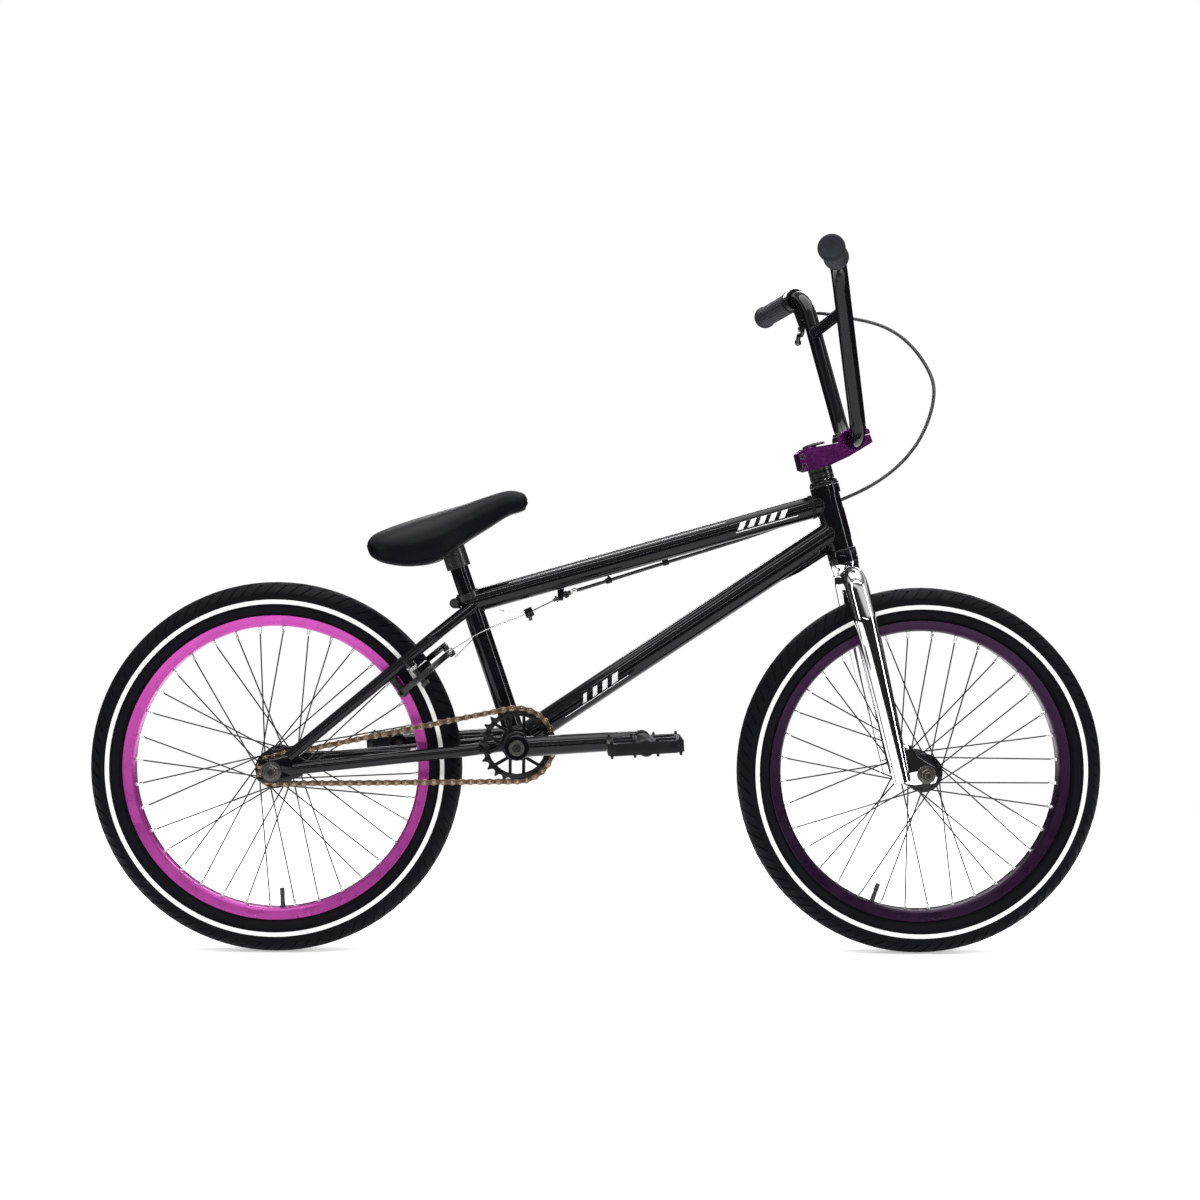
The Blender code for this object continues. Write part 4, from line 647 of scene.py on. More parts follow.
def build_badge():
    """Plain oval with a raised middle, on the front of the head tube."""
    forward = Y_AXIS.cross(STEER_UP)
    rings = []
    for size, lift in ((0.05, 0.00004), (0.5, 0.00004), (1.0, 0.00004), (1.0, 0.0005), (0.85, 0.0008),
                       (0.45, 0.0009), (0.05, 0.001)):
        ring = []
        for k in range(40):
            angle = pi * k / 20
            turn = 0.013 * size * sin(angle) / HEAD_RADIUS
            out = forward * cos(turn) + Y_AXIS * sin(turn)
            ring.append(on_steer(0.6) + STEER_UP * (0.022 * size * cos(angle)) + out * (HEAD_RADIUS + lift))
        rings.append(ring)
    piece("head_tube_oval", Shape().loft(rings), PURPLE, "frame", sharp=50)


# ---------------------------------------------------------------- wheels
TREAD_PITCHES = 92
TREAD_EDGE = 64


def tyre_height(angle, station, odd):
    """Section radius of the tyre at a section angle; grooves cut the tread between blocks."""
    carcass, tread = 0.0261, 0.0275
    size = abs(angle)
    blend = min(max((TREAD_EDGE + 5 - size) / 5, 0), 1)
    radius = carcass + (tread - carcass) * blend
    starts = 30 if odd else 11
    if station and starts <= size <= TREAD_EDGE:
        radius = carcass + 0.0001
    if 8.0 <= size <= 9.5 or (100 < size < 102):
        radius -= 0.0008
    return radius


def build_tyre(name, hub, body):
    middle = TYRE_RADIUS - TYRE_SECTION
    lip, bead = RIM_RADIUS + 0.0002, 0.2045
    edges = [0, 8, 8.1, 9.4, 9.6, 10.9, 11.1, 20, 29.9, 30.1, 40, 50, 57, 63.9, 64.2, 69, 76, 84, 92,
             99.9, 100.1, 101.9, 102.1, 110, 117, 122]
    angles = [-a for a in reversed(edges[1:])] + edges
    stations = [(0.0, 0), (0.76, 0), (0.8, 1), (0.97, 1)]
    rings = []
    for k in range(TREAD_PITCHES):
        for along, groove in stations:
            ring = []
            for angle in angles:
                size = min(abs(angle), 70) / 70
                shear = 0.85 * size + (0.9 * (size - 0.6) if size > 0.6 else 0)
                turn = 2 * pi * (k + along + shear) / TREAD_PITCHES
                section = tyre_height(angle, groove, k % 2)
                reach = max(middle + section * cos(radians(angle)), lip)
                y = section * sin(radians(angle))
                ring.append(hub + Vector((reach * cos(turn), y, reach * sin(turn))))
            turn = 2 * pi * (k + along + 1.15) / TREAD_PITCHES
            for reach, y in ((lip, 0.0133), (bead, 0.0125), (bead, -0.0125), (lip, -0.0133)):
                ring.append(hub + Vector((reach * cos(turn), y, reach * sin(turn))))
            rings.append(ring)
    shape = Shape().loft(rings, closed=True)
    piece(f"{name}_tyre_treaded", shape, TYRE, body, [f"{name}_tyre"], sharp=30)

    lines = Shape()
    band = ((0.0258, 81.5), (0.02635, 82.5), (0.02645, 86), (0.02645, 91), (0.02635, 94.5), (0.0258, 95.5))
    for side in SIDES.values():
        profile = [(middle + r * cos(radians(a)), side * r * sin(radians(a))) for r, a in band]
        lines.turn(profile, hub, Y_AXIS, 220, ring=True)
    piece(f"{name}_tyre_white_lines", lines, WHITE_LINE, body)


def mirrored(profile):
    return [(radius, -y) for radius, y in reversed(profile)]


def build_rim(name, hub, body, mat):
    lip, root = RIM_RADIUS, RIM_INNER
    wall = [(lip, 0.0155), (lip - 0.0008, 0.0157), (lip - 0.0016, 0.0153), (root + 0.0045, 0.015),
            (root + 0.0028, 0.0145), (root + 0.001, 0.0122), (root, 0.009), (root - 0.0002, 0.004)]
    well = [(root + 0.0025, 0.01), (root + 0.004, 0.0124), (lip, 0.0135)]
    profile = wall + mirrored(wall) + mirrored(well) + well
    piece(f"{name}_rim_smooth", Shape().turn(profile, hub, Y_AXIS, 216, ring=True), mat, body,
          [f"{name}_rim"], sharp=32)


def build_spokes(name, hub, body, flanges):
    """Three-cross lacing with bent, headed spokes and nipples."""
    nipples = Shape()
    per_side = 18
    step = 2 * pi / per_side
    for (side_name, side), flange, lead in zip(SIDES.items(), flanges, (flanges[2], flanges[2] + step / 2)):
        wires = Shape()
        for i in range(per_side):
            way = 1 if i % 2 == 0 else -1
            start_angle = lead + step * i
            end_angle = start_angle + way * 3 * step
            radial = Vector((cos(start_angle), 0, sin(start_angle)))
            hole = hub + radial * 0.0236 + Y_AXIS * flange
            lean = Y_AXIS * side * way
            end = hub + Vector((0.1955 * cos(end_angle), side * 0.0022, 0.1955 * sin(end_angle)))
            elbow = hole + lean * 0.0027
            along = (end - elbow).normalized()
            wires.tube([hole - lean * 0.0026, hole + lean * 0.0018, elbow + along * 0.0012, end], 0.001, 8)
            wires.turn([(0, 0), (0.0015, 0), (0.002, 0.0006), (0.002, 0.001), (0.001, 0.0016),
                        (0, 0.0016)], hole - lean * 0.0036, lean, 12)
            nipples.turn([(0.0011, 0), (0.0019, 0.0008), (0.0019, 0.0075), (0.0026, 0.0085), (0.0026, 0.01),
                          (0.0011, 0.0104)], end - along * 0.0092, along, 8, ring=True)
        piece(f"{name}_spokes_{side_name}_laced", wires, SPOKE, body, [f"{name}_spokes_{side_name}"])
    piece(f"{name}_nipples", nipples, BRIGHT, body)


def build_hub(name, hub, body, low, high, flanges, bore):
    def half(end, flange, way):
        steps = ((0.015, -0.0045), (0.018, -0.0026), (0.0266, -0.0018), (0.0272, -0.0012), (0.0272, 0.0012),
                 (0.0266, 0.0018), (0.019, 0.0028), (0.0165, 0.005), (0.0153, 0.011))
        face = [(bore, end), (0.0138, end), (0.0145, end + way * 0.0007)]
        return face + [(radius, flange + way * y) for radius, y in steps]

    a, b = flanges
    profile = half(low, a, 1) + [(0.015, (a + b) / 2)] + half(high, b, -1)[::-1]
    piece(f"{name}_hub_smooth", Shape().turn(profile, hub, Y_AXIS, 72, ring=True), ALLOY, body,
          [f"{name}_hub"])


def build_axle(name, hub, body, radius, inner, face, nut_radius, washer_radius, end):
    """Threaded axle with a cone, washer and flanged nut on each side."""
    shape = Shape()
    shape.turn([(0, -inner[0]), (radius, -inner[0]), (radius, inner[0]), (0, inner[0])], hub, Y_AXIS, 40)
    for side in SIDES.values():
        out = Y_AXIS * side
        shape.turn([(radius, inner[0] - 0.0052), (inner[1] - 0.0006, inner[0] - 0.0052),
                    (inner[1], inner[0] - 0.0045), (inner[1], inner[0] - 0.0003),
                    (radius, inner[0] - 0.0003)], hub, out, 40, ring=True)
        shape.turn([(radius, face), (washer_radius, face), (washer_radius, face + 0.0014),
                    (washer_radius - 0.001, face + 0.0019), (radius, face + 0.0019)], hub, out, 48, ring=True)
        nut = hub + out * (face + 0.0018)
        shape.loft([circle(nut, out, nut_radius, 6), circle(nut + out * 0.006, out, nut_radius, 6),
                    circle(nut + out * 0.0073, out, nut_radius * 0.85, 6),
                    circle(nut + out * 0.0073, out, radius, 6)])
        threads = [(radius, face)]
        steps = 9
        for k in range(steps):
            at = face + 0.008 + (end - face - 0.009) * k / steps
            threads += [(radius, at), (radius - 0.0005, at + 0.0004)]
        threads += [(radius, end - 0.0008), (radius - 0.0008, end), (radius * 0.45, end),
                    (radius * 0.35, end - 0.0012), (0, end - 0.0012)]
        shape.turn(threads, hub, out, 40)
    piece(f"{name}_axle_finished", shape, BLACK_STEEL, body, [f"{name}_axle"])


def build_valve(name, hub, body, angle):
    """Valve stem and ribbed cap, standing in for the hidden tube that it belongs to."""
    inward = -Vector((cos(angle), 0, sin(angle)))
    foot = hub - inward * RIM_INNER
    rubber = Shape().turn([(0, -0.006), (0.0036, -0.006), (0.0036, 0.0), (0.004, 0.0004), (0.0034, 0.002),
                           (0.0031, 0.015), (0.0028, 0.016), (0, 0.016)], foot, inward, 24)
    rubber.turn([(0, 0.0155), (0.0031, 0.0155), (0.0034, 0.016), (0.0034, 0.025), (0.003, 0.0264),
                 (0, 0.0268)], foot, inward, 10)
    piece(f"{name}_valve", rubber, BUTYL, body, [f"{name}_inner_tube"])


def build_wheels():
    front = ("front", FRONT_HUB, "front_wheel")
    rear = ("rear", REAR_HUB, "rear_wheel")
    build_tyre(*front)
    build_tyre(*rear)
    build_rim(*front, DEEP_PURPLE)
    build_rim(*rear, MAGENTA)
    build_spokes(*front, (-0.032, 0.032, radians(5)))
    build_spokes(*rear, (-0.025, 0.034, radians(7.5)))
    build_hub(*front, -0.044, 0.044, (-0.032, 0.032), 0.0054)
    build_hub(*rear, -0.0355, 0.049, (-0.025, 0.034), 0.0074)
    build_axle("front", FRONT_HUB, "steering", 0.005, (0.05, 0.0085), 0.0558, 0.0095, 0.0125, 0.07)
    build_axle("rear", REAR_HUB, "frame", 0.007, (0.055, 0.0105), 0.0613, 0.011, 0.0135, 0.073)
    build_valve(*front, radians(-109))
    build_valve(*rear, radians(-87.5))


# ---------------------------------------------------------------- chain drive
SPROCKET_RADIUS = CHAIN_PITCH / (2 * sin(pi / SPROCKET_TEETH))
DRIVER_RADIUS = CHAIN_PITCH / (2 * sin(pi / DRIVER_TEETH))
ROLLER_RADIUS = 0.0039
LINKS = 70
SPAN = Vector((REAR_HUB.x - BB.x, 0, REAR_HUB.z - BB.z))
LEAN = asin((SPROCKET_RADIUS - DRIVER_RADIUS) / SPAN.length)
TILT = atan2(-SPAN.z, -SPAN.x)


def chain_pins():
    """Pin places one pitch apart round the closed loop, from the sprocket's lower tangent."""
    low, top = TILT - pi / 2 - LEAN, TILT + pi / 2 + LEAN
    big = SPROCKET_RADIUS * (pi + 2 * LEAN)
    run = sqrt(SPAN.length ** 2 - (SPROCKET_RADIUS - DRIVER_RADIUS) ** 2)
    small = DRIVER_RADIUS * (pi - 2 * LEAN)
    total = big + small + 2 * run

    def rim(centre, radius, angle):
        return Vector((centre.x + radius * cos(angle), -CHAIN_LINE, centre.z + radius * sin(angle)))

    pins = []
    for i in range(LINKS):
        s = total * i / LINKS
        if s < big:
            pins.append(rim(BB, SPROCKET_RADIUS, low + s / SPROCKET_RADIUS))
        elif s < big + run:
            pins.append(rim(BB, SPROCKET_RADIUS, top).lerp(rim(REAR_HUB, DRIVER_RADIUS, top),
                                                           (s - big) / run))
        elif s < big + run + small:
            pins.append(rim(REAR_HUB, DRIVER_RADIUS, top + (s - big - run) / DRIVER_RADIUS))
        else:
            t = (s - big - run - small) / run
            pins.append(rim(REAR_HUB, DRIVER_RADIUS, low).lerp(rim(BB, SPROCKET_RADIUS, low), t))
    return pins


def link_plate(shape, a, b, y, thickness=0.001):
    """Waisted link plate between two pins."""
    along = (b - a).normalized()
    up = along.cross(Y_AXIS)
    length = (b - a).length
    outline = []
    for centre, start in ((0.0, 55), (length, -125)):
        for k in range(9):
            angle = radians(start + 250 * k / 8)
            outline.append((centre + 0.0041 * cos(angle), 0.0041 * sin(angle)))
        middle = length / 2
        outline.append((middle, -0.0027 if centre == 0.0 else 0.0027))
    rings = []
    for inset, depth in ((0.9, -thickness / 2), (1.0, -thickness / 4), (1.0, thickness / 4),
                         (0.9, thickness / 2)):
        rings.append([a + along * (length / 2 + (u - length / 2) * (1 - (1 - inset) * 0.4)) + up
                      * (v * inset) + Y_AXIS * (y + depth) for u, v in outline])
    shape.loft(rings)


def build_chain():
    plates, pins = Shape(), Shape()
    places = chain_pins()
    for i, (a, b) in enumerate(zip(places, places[1:] + places[:1])):
        offset = 0.0023 if i % 2 else 0.0034
        for side in (-1, 1):
            link_plate(plates, a, b, side * offset)
        pins.turn([(0, -0.0044), (0.0015, -0.0044), (0.0018, -0.0041), (0.0018, 0.0041), (0.0015, 0.0044),
                   (0, 0.0044)], a, Y_AXIS, 10)
        pins.turn([(0.0018, -0.0017), (ROLLER_RADIUS, -0.0017), (ROLLER_RADIUS, 0.0017), (0.0018, 0.0017)],
                  a, Y_AXIS, 14, ring=True)
    piece("chain_links", plates, CHAIN, "frame", ["chain"])
    piece("chain_pins_and_rollers", pins, CHAIN_PIN, "frame")


def toothed(centre, teeth, radius, phase, tip):
    """Sprocket outline: a round seat for each roller and a narrow tooth between."""
    points = []
    for i in range(teeth):
        at = phase + 2 * pi * i / teeth
        seat = (centre.x + radius * cos(at), centre.z + radius * sin(at))
        for k in range(7):
            turn = at + pi + radians(66 - 132 * k / 6)
            points.append((seat[0] + (ROLLER_RADIUS + 0.0001) * cos(turn),
                           seat[1] + (ROLLER_RADIUS + 0.0001) * sin(turn)))
        for share in (0.43, 0.57):
            turn = at + 2 * pi * share / teeth
            points.append((centre.x + (radius + tip) * cos(turn), centre.z + (radius + tip) * sin(turn)))
    return points


SQUARE_WINDOW = [(0.0215, -0.007), (0.0392, -0.007), (0.0402, 0.0), (0.0392, 0.007), (0.0215, 0.007)]
CORNER_WINDOW = [(0.02, 0.0116), (0.038, 0.0116), (0.0366, 0.016), (0.0346, 0.0203), (0.032, 0.0243),
                 (0.0291, 0.0277)]


def build_sprocket():
    shape = Shape()
    windows = []
    for i in range(6):
        angle = -pi / 2 + pi * i / 3
        out = (cos(angle), sin(angle))
        for window in (SQUARE_WINDOW, CORNER_WINDOW):
            windows.append([(BB.x + r * out[0] - t * out[1], BB.z + r * out[1] + t * out[0])
                            for r, t in window])
    bore = arc(BB.x, BB.z, 0.0099, 0, 11.25, 32)
    phase = TILT - pi / 2 - LEAN
    shape.plate([toothed(BB, SPROCKET_TEETH, SPROCKET_RADIUS, phase, 0.002), bore] + windows, 0.003,
                across(-CHAIN_LINE), 0.0003)
    shape.turn([(0.0099, 0.041), (0.0185, 0.041), (0.0185, 0.05), (0.0178, 0.0508), (0.015, 0.051),
                (0.0146, 0.0506), (0.0099, 0.0506)], BB, -Y_AXIS, 56, ring=True)
    bolt = BB + Vector((0.014 * 0.2, -0.0508, -0.0143))
    shape.turn([(0, -0.002), (0.0034, -0.002), (0.0034, 0.0012), (0.003, 0.0016), (0.0018, 0.0016),
                (0.0018, 0.0), (0, 0.0)], bolt, -Y_AXIS, 20)
    piece("sprocket_cut", shape, ALLOY, "crankset", ["sprocket"])

    cog = Shape()
    bore = arc(REAR_HUB.x, REAR_HUB.z, 0.0078, 0, 11.25, 32)
    cog.plate([toothed(REAR_HUB, DRIVER_TEETH, DRIVER_RADIUS, TILT + pi / 2 + LEAN, 0.0016), bore],
              0.003, across(-CHAIN_LINE), 0.0003)
    cog.turn([(0.0078, 0.0366), (0.0132, 0.0366), (0.0132, 0.0485), (0.0124, 0.0491),
              (0.0078, 0.0491)], REAR_HUB, -Y_AXIS, 40, ring=True)
    piece("driver_cog", cog, BLACK_STEEL, "driver", ["driver"])


def build_cranks():
    rise = radians(3.7)
    forward = Vector((cos(rise), 0, sin(rise)))
    spindle, bolts = Shape(), Shape()
    spindle.turn([(0.0045, -0.09), (0.0095, -0.09), (0.0095, 0.09), (0.0045, 0.09)], BB, Y_AXIS, 40,
                 ring=True)
    for name, side in SIDES.items():
        out = Y_AXIS * side
        centre = BB + out * CRANK_OFFSET
        way = forward * -side
        pedal = centre + way * 0.17
        arm = Shape()
        welds = Shape()
        boss = (centre, Y_AXIS, 0.0172)
        end_boss = (pedal, Y_AXIS, 0.0128)
        first, last = mitre(centre, pedal, 0.014, boss, 36), mitre(pedal, centre, 0.0127, end_boss, 36)
        last = in_step(last, circle(pedal, way, 0.0127, 36), way)
        arm.loft([first, last])
        weld(welds, first, 0.0012, 2)
        weld(welds, last, 0.0011, 2)
        arm.turn([(0.0098, -0.0125), (0.0166, -0.0125), (0.0172, -0.0119), (0.0172, 0.0115),
                  (0.0162, 0.0125), (0.0128, 0.0125), (0.0124, 0.0118), (0.0098, 0.0118)], centre, out,
                 56, ring=True)
        arm.turn([(0.0069, -0.0106), (0.0122, -0.0106), (0.0128, -0.01), (0.0128, 0.01), (0.0122, 0.0106),
                  (0.0069, 0.0106)], pedal, out, 48, ring=True)
        piece(f"crank_arm_{name}_tube", arm, PAINT, "crankset", [f"crank_arm_{name}"])
        piece(f"crank_arm_{name}_welds", welds, PAINT, "crankset", sharp=60)
        bolts.turn([(0.0097, 0.0905), (0.011, 0.0918), (0.011, 0.094), (0.0102, 0.0953), (0.0056, 0.0953),
                    (0.0052, 0.0946), (0.0052, 0.0915), (0, 0.0915)], BB, out, 48)
        bolts.hex(BB + out * 0.0915, out, 0.005, 0.003, 0.0032)
        axle = Shape()
        axle.turn([(0, -0.0108), (0.0063, -0.0108), (0.0063, 0.0133), (0.0085, 0.0134), (0.0085, 0.016),
                   (0.0078, 0.0168), (0.0045, 0.017), (0.0045, 0.11), (0, 0.11)], pedal, out, 32)
        piece(f"pedal_axle_{name}_turned", axle, BLACK_STEEL, "crankset", [f"pedal_axle_{name}"])
        build_pedal(name, side, pedal, way)
    piece("crank_spindle_tube", spindle, BLACK_STEEL, "crankset", ["crank_spindle"])
    piece("crank_bolts", bolts, BLACK_STEEL, "crankset")


def clipped(x, y, half_x, half_y, cut):
    """Rectangle with its corners cut off, centred on (x, y)."""
    left, right, low, high = x - half_x, x + half_x, y - half_y, y + half_y
    return [(left + cut, low), (right - cut, low), (right, low + cut), (right, high - cut),
            (right - cut, high), (left + cut, high), (left, high - cut), (left, low + cut)]


def build_pedal(name, side, pedal, way):
    """Nylon platform with windows, ribs, a spindle barrel and moulded traction pins."""
    out = Y_AXIS * side
    middle = pedal + out * 0.0655
    along = way * -side
    up = along.cross(Y_AXIS).normalized()
    up = up if up.z > 0 else -up
    place = Matrix((along, Y_AXIS, up)).transposed().to_4x4()
    place.translation = middle
    holes = []
    for x in (-1, 1):
        for y in (-1, 1):
            holes.append(clipped(x * 0.0275, y * 0.0205, 0.013, 0.016, 0.003))
    body = Shape().plate([clipped(0, 0, 0.05, 0.048, 0.01)] + holes, 0.0165, place, 0.0014)
    body.turn([(0.0052, -0.048), (0.0108, -0.048), (0.0115, -0.047), (0.0115, 0.044), (0.01, 0.0478),
               (0.0, 0.048)], middle, out, 40)
    for x in (-1, 1):
        for y in (-1, 0, 1):
            a = middle + along * (x * 0.0275) + Y_AXIS * (y * 0.0205)
            body.tube([a - along * 0.0135, a + along * 0.0135], 0.0022, 10)
    piece(f"pedal_{name}_platform", body, NYLON, f"{name}_pedal", [f"pedal_{name}"])
    pins = Shape()
    for way_up in (-1, 1):
        for x in (-0.045, -0.015, 0.015, 0.045):
            for y in (-0.043, 0.043):
                foot = middle + along * x + Y_AXIS * y + up * (way_up * 0.0078)
                pins.turn([(0, 0), (0.0023, 0), (0.0019, 0.0022), (0.0014, 0.004), (0, 0.0042)], foot,
                          up * way_up, 12)
    piece(f"pedal_{name}_pins", pins, NYLON, f"{name}_pedal")


# ---------------------------------------------------------------- fork, stem, bars
def build_fork():
    legs = Shape()
    half = rounded_path([(0.347, 0, 0.529), (0.348, -0.042, 0.527), (0.362, -0.0535, 0.47),
                         (0.416, -0.055, 0.247)], 0.022, 10)
    last = half.pop()
    half += [half[-1].lerp(last, k / 10) for k in range(1, 11)]
    sizes = []
    for point in half:
        share = min(max((0.455 - point.z) / (0.455 - 0.247), 0), 1)
        sizes.append(0.016 - 0.0042 * share)
    mirror = [Vector((p.x, -p.y, p.z)) for p in half]
    legs.tube(list(reversed(half))[:-1] + mirror, list(reversed(sizes))[:-1] + sizes, 36)
    race = HEAD_LOW - STEER_UP * 0.0003
    legs.turn([(0.013, -0.015), (0.0185, -0.015), (0.019, -0.0058), (0.0197, -0.004), (0.0197, 0.0),
               (0.013, 0.0)], race, STEER_UP, 56, ring=True)
    steerer_top = on_steer(0.704)
    legs.turn([(0.0122, 0), (STEERER_RADIUS, 0), (STEERER_RADIUS, (steerer_top - race).length),
               (0.0122, (steerer_top - race).length)], race, STEER_UP, 48, ring=True)
    for side in SIDES.values():
        x, reach, foot = FRONT_HUB.x, 0.0055, 0.244
        outline = [(x + reach, foot)] + arc(x, FRONT_HUB.z, reach, 0, 18, 11) + [(x - reach, foot)]
        outline += [(0.433, 0.2425), (0.423, 0.244), (0.415, 0.248), (0.411, 0.256), (0.408, 0.298),
                    (0.427, 0.298), (0.43, 0.29), (0.437, 0.282), (0.45, 0.2735), (0.46, 0.268),
                    (0.464, 0.262), (0.4645, 0.254), (0.462, 0.246)]
        legs.plate([outline], 0.005, across(side * 0.0529), 0.0007)
    piece("fork_legs", legs, CHROME, "steering", ["fork"])
    beads = Shape()
    for side in SIDES.values():
        place = Vector((0.4105, side * 0.0548, 0.272))
        beads.tube([place + Vector((0, 0, 0.02)), place, place + Vector((0.004, 0, -0.018))], 0.0016, 8)
    weld(beads, circle(race - STEER_UP * 0.015, STEER_UP, 0.0185, 40), 0.0014, 2)
    piece("fork_weld_beads", beads, CHROME, "steering", sharp=60)


def build_headset():
    low = HEAD_HIGH + STEER_UP * 0.0003
    shape = Shape().turn([(0.0147, 0), (0.0199, 0), (0.0205, 0.0006), (0.0205, 0.003), (0.0198, 0.0036),
                          (0.0198, 0.0042), (0.019, 0.0062), (0.0176, 0.0082), (0.0172, 0.0085),
                          (0.0147, 0.0085)], low, STEER_UP, 64, ring=True)
    piece("headset_cover_turned", shape, ALLOY, "steering", ["headset_cover"])
    spacer = low + STEER_UP * 0.0088
    shape = Shape().turn([(0.0147, 0), (0.0165, 0), (0.017, 0.0005), (0.017, 0.0028), (0.0166, 0.0032),
                          (0.017, 0.0036), (0.017, 0.006), (0.0165, 0.0065), (0.0147, 0.0065)],
                         spacer, STEER_UP, 64, ring=True)
    piece("headset_spacer_turned", shape, ALLOY, "steering", ["headset_spacer"])
    shape = Shape().turn([(0.0147, 0), (0.0163, 0), (0.0168, 0.0005), (0.0168, 0.005), (0.0163, 0.0055),
                          (0.0168, 0.006), (0.0168, 0.0106), (0.0147, 0.0106)],
                         spacer + STEER_UP * 0.0066, STEER_UP, 64, ring=True)
    piece("headset_spacer_tall", shape, ALLOY, "steering")
    top = on_steer(0.7106)
    shape = Shape().turn([(0, -0.02), (0.0035, -0.02), (0.0035, 0), (0.0156, 0), (0.016, 0.0004),
                          (0.016, 0.0018), (0.015, 0.003), (0.0125, 0.004), (0.0062, 0.0042),
                          (0.0056, 0.0036), (0.0056, 0.0014), (0, 0.0014)], top, STEER_UP, 56)
    shape.hex(top + STEER_UP * 0.0012, STEER_UP, 0.0046, 0.0022, 0.0026)
    piece("headset_top_cap_turned", shape, ALLOY, "steering", ["headset_top_cap"])
    for node in ("headset_bearing_lower", "headset_bearing_upper",
                 "bottom_bracket_bearing_right", "bottom_bracket_bearing_left"):
        refined(node, BLACK_STEEL, "frame", 0.0003)


BAR_BASE = Vector((0.349, 0.062, 0.718))
BAR_TOP = Vector((0.301, 0.163, 0.944))
BAR_END = Vector((0.265, 0.343, 0.932))
CROSSBAR_Z = 0.884
BAR_CENTRE = Vector((BAR_BASE.x, 0, BAR_BASE.z))


def other_side(point, side):
    return Vector((point.x, point.y * side, point.z))


def build_stem():
    made = refined("stem", PURPLE, "steering", 0.0012)
    pockets = Shape()
    for side in SIDES.values():
        for outline in ([(0.293, 0.689), (0.314, 0.6945), (0.314, 0.704), (0.293, 0.6995)],
                        [(0.32, 0.6965), (0.329, 0.6995), (0.329, 0.7075), (0.32, 0.7055)]):
            pockets.plate([outline], 0.004, across(side * 0.0245), 0.0002)
    cutter = piece("stem_pockets", pockets, PURPLE, None)
    step = made.modifiers.new("pockets", "BOOLEAN")
    step.operation = "DIFFERENCE"
    step.solver = "EXACT"
    step.object = cutter
    made.modifiers.move(2, 0)
    bpy.context.view_layer.update()
    graph = bpy.context.evaluated_depsgraph_get()
    baked = bpy.data.meshes.new_from_object(made.evaluated_get(graph), depsgraph=graph)
    made.modifiers.clear()
    made.data = baked
    bpy.data.objects.remove(cutter)
    refined("stem_cap", PURPLE, "steering", 0.0012)

    bolts = Shape()
    cap_up = Vector((-0.27, 0, 0.963)).normalized()
    along = Vector((0.963, 0, 0.27)).normalized()
    for forward in (-0.0175, 0.0175):
        for side in (-0.0165, 0.0165):
            head = BAR_CENTRE + along * forward + cap_up * 0.0128 + Y_AXIS * side
            bolts.turn([(0, -0.003), (0.0043, -0.003), (0.0043, 0.0024), (0.0038, 0.003), (0.0024, 0.003),
                        (0.0022, 0.0008), (0, 0.0008)], head, cap_up, 20)
    for z in (0.6815, 0.6945):
        for side in SIDES.values():
            head = Vector((0.28 - (z - 0.6815) * 0.28, side * 0.024, z))
            bolts.turn([(0, -0.002), (0.0042, -0.002), (0.0042, 0.0004), (0.0038, 0.0008), (0.0024, 0.0008),
                        (0.0022, -0.0008), (0, -0.0008)], head, Y_AXIS * side, 20)
    piece("stem_bolts", bolts, BLACK_STEEL, "steering")


def build_handlebar():
    corners = [other_side(BAR_END, -1), other_side(BAR_TOP, -1), other_side(BAR_BASE, -1), BAR_BASE,
               BAR_TOP, BAR_END]
    bar, welds = Shape(), Shape()
    bar.tube(rounded_path(corners, 0.055, 16), BAR_RADIUS, 32)
    share = (CROSSBAR_Z - BAR_BASE.z) / (BAR_TOP.z - BAR_BASE.z)
    ends = [other_side(BAR_BASE.lerp(BAR_TOP, share), side) for side in (-1, 1)]
    uprights = [(end, other_side(BAR_TOP, side) - other_side(BAR_BASE, side), BAR_RADIUS)
                for end, side in zip(ends, (-1, 1))]
    mitred_tube(bar, welds, ends[0], ends[1], 0.008, uprights[0], uprights[1], 28)
    piece("handlebar_tubes", bar, PAINT, "steering", ["handlebar"])
    piece("handlebar_welds", welds, PAINT, "steering", sharp=60)


def build_grips():
    """Moulded grip with a flange, a band of diamond hatching and a domed end plug."""
    length, sides, rows = 0.132, 96, 110
    for name, side in SIDES.items():
        end, bend = other_side(BAR_END, side), other_side(BAR_TOP, side)
        inward = (bend - end).normalized()
        start = end - inward * 0.004
        first, second = basis(inward)
        rings = []
        for row in range(rows + 1):
            at = 0.0065 + (length - 0.0065) * row / rows
            ring = []
            for k in range(sides):
                turn = 2 * pi * k / sides
                radius = 0.0152
                if at < 0.118:
                    a = sin(turn * 12 + at * 900) * sin(turn * 12 - at * 900)
                    radius += 0.0003 if a > 0 else -0.0002
                if at > length - 0.006:
                    radius = 0.0165
                if row == rows:
                    radius = 0.0158
                ring.append(start + inward * at + (first * cos(turn) + second * sin(turn)) * radius)
            rings.append(ring)
        tail = [circle(start + inward * (length - 0.0002), inward, 0.0113, sides)]
        cap = [circle(start + inward * z, inward, r, sides) for r, z in ((0.0001, 0.0014), (0.009, 0.0012),
                                                                         (0.0104, 0.0005), (0.0112, 0.0003),
                                                                         (0.0148, 0.0003), (0.0164, 0.0008),
                                                                         (0.0172, 0.002), (0.0172, 0.0042),
                                                                         (0.0166, 0.0056))]
        shape = Shape().loft(cap + rings + tail, caps=False)
        piece(f"grip_{name}_moulded", shape, GRIP, "steering", [f"grip_{name}"], sharp=50)


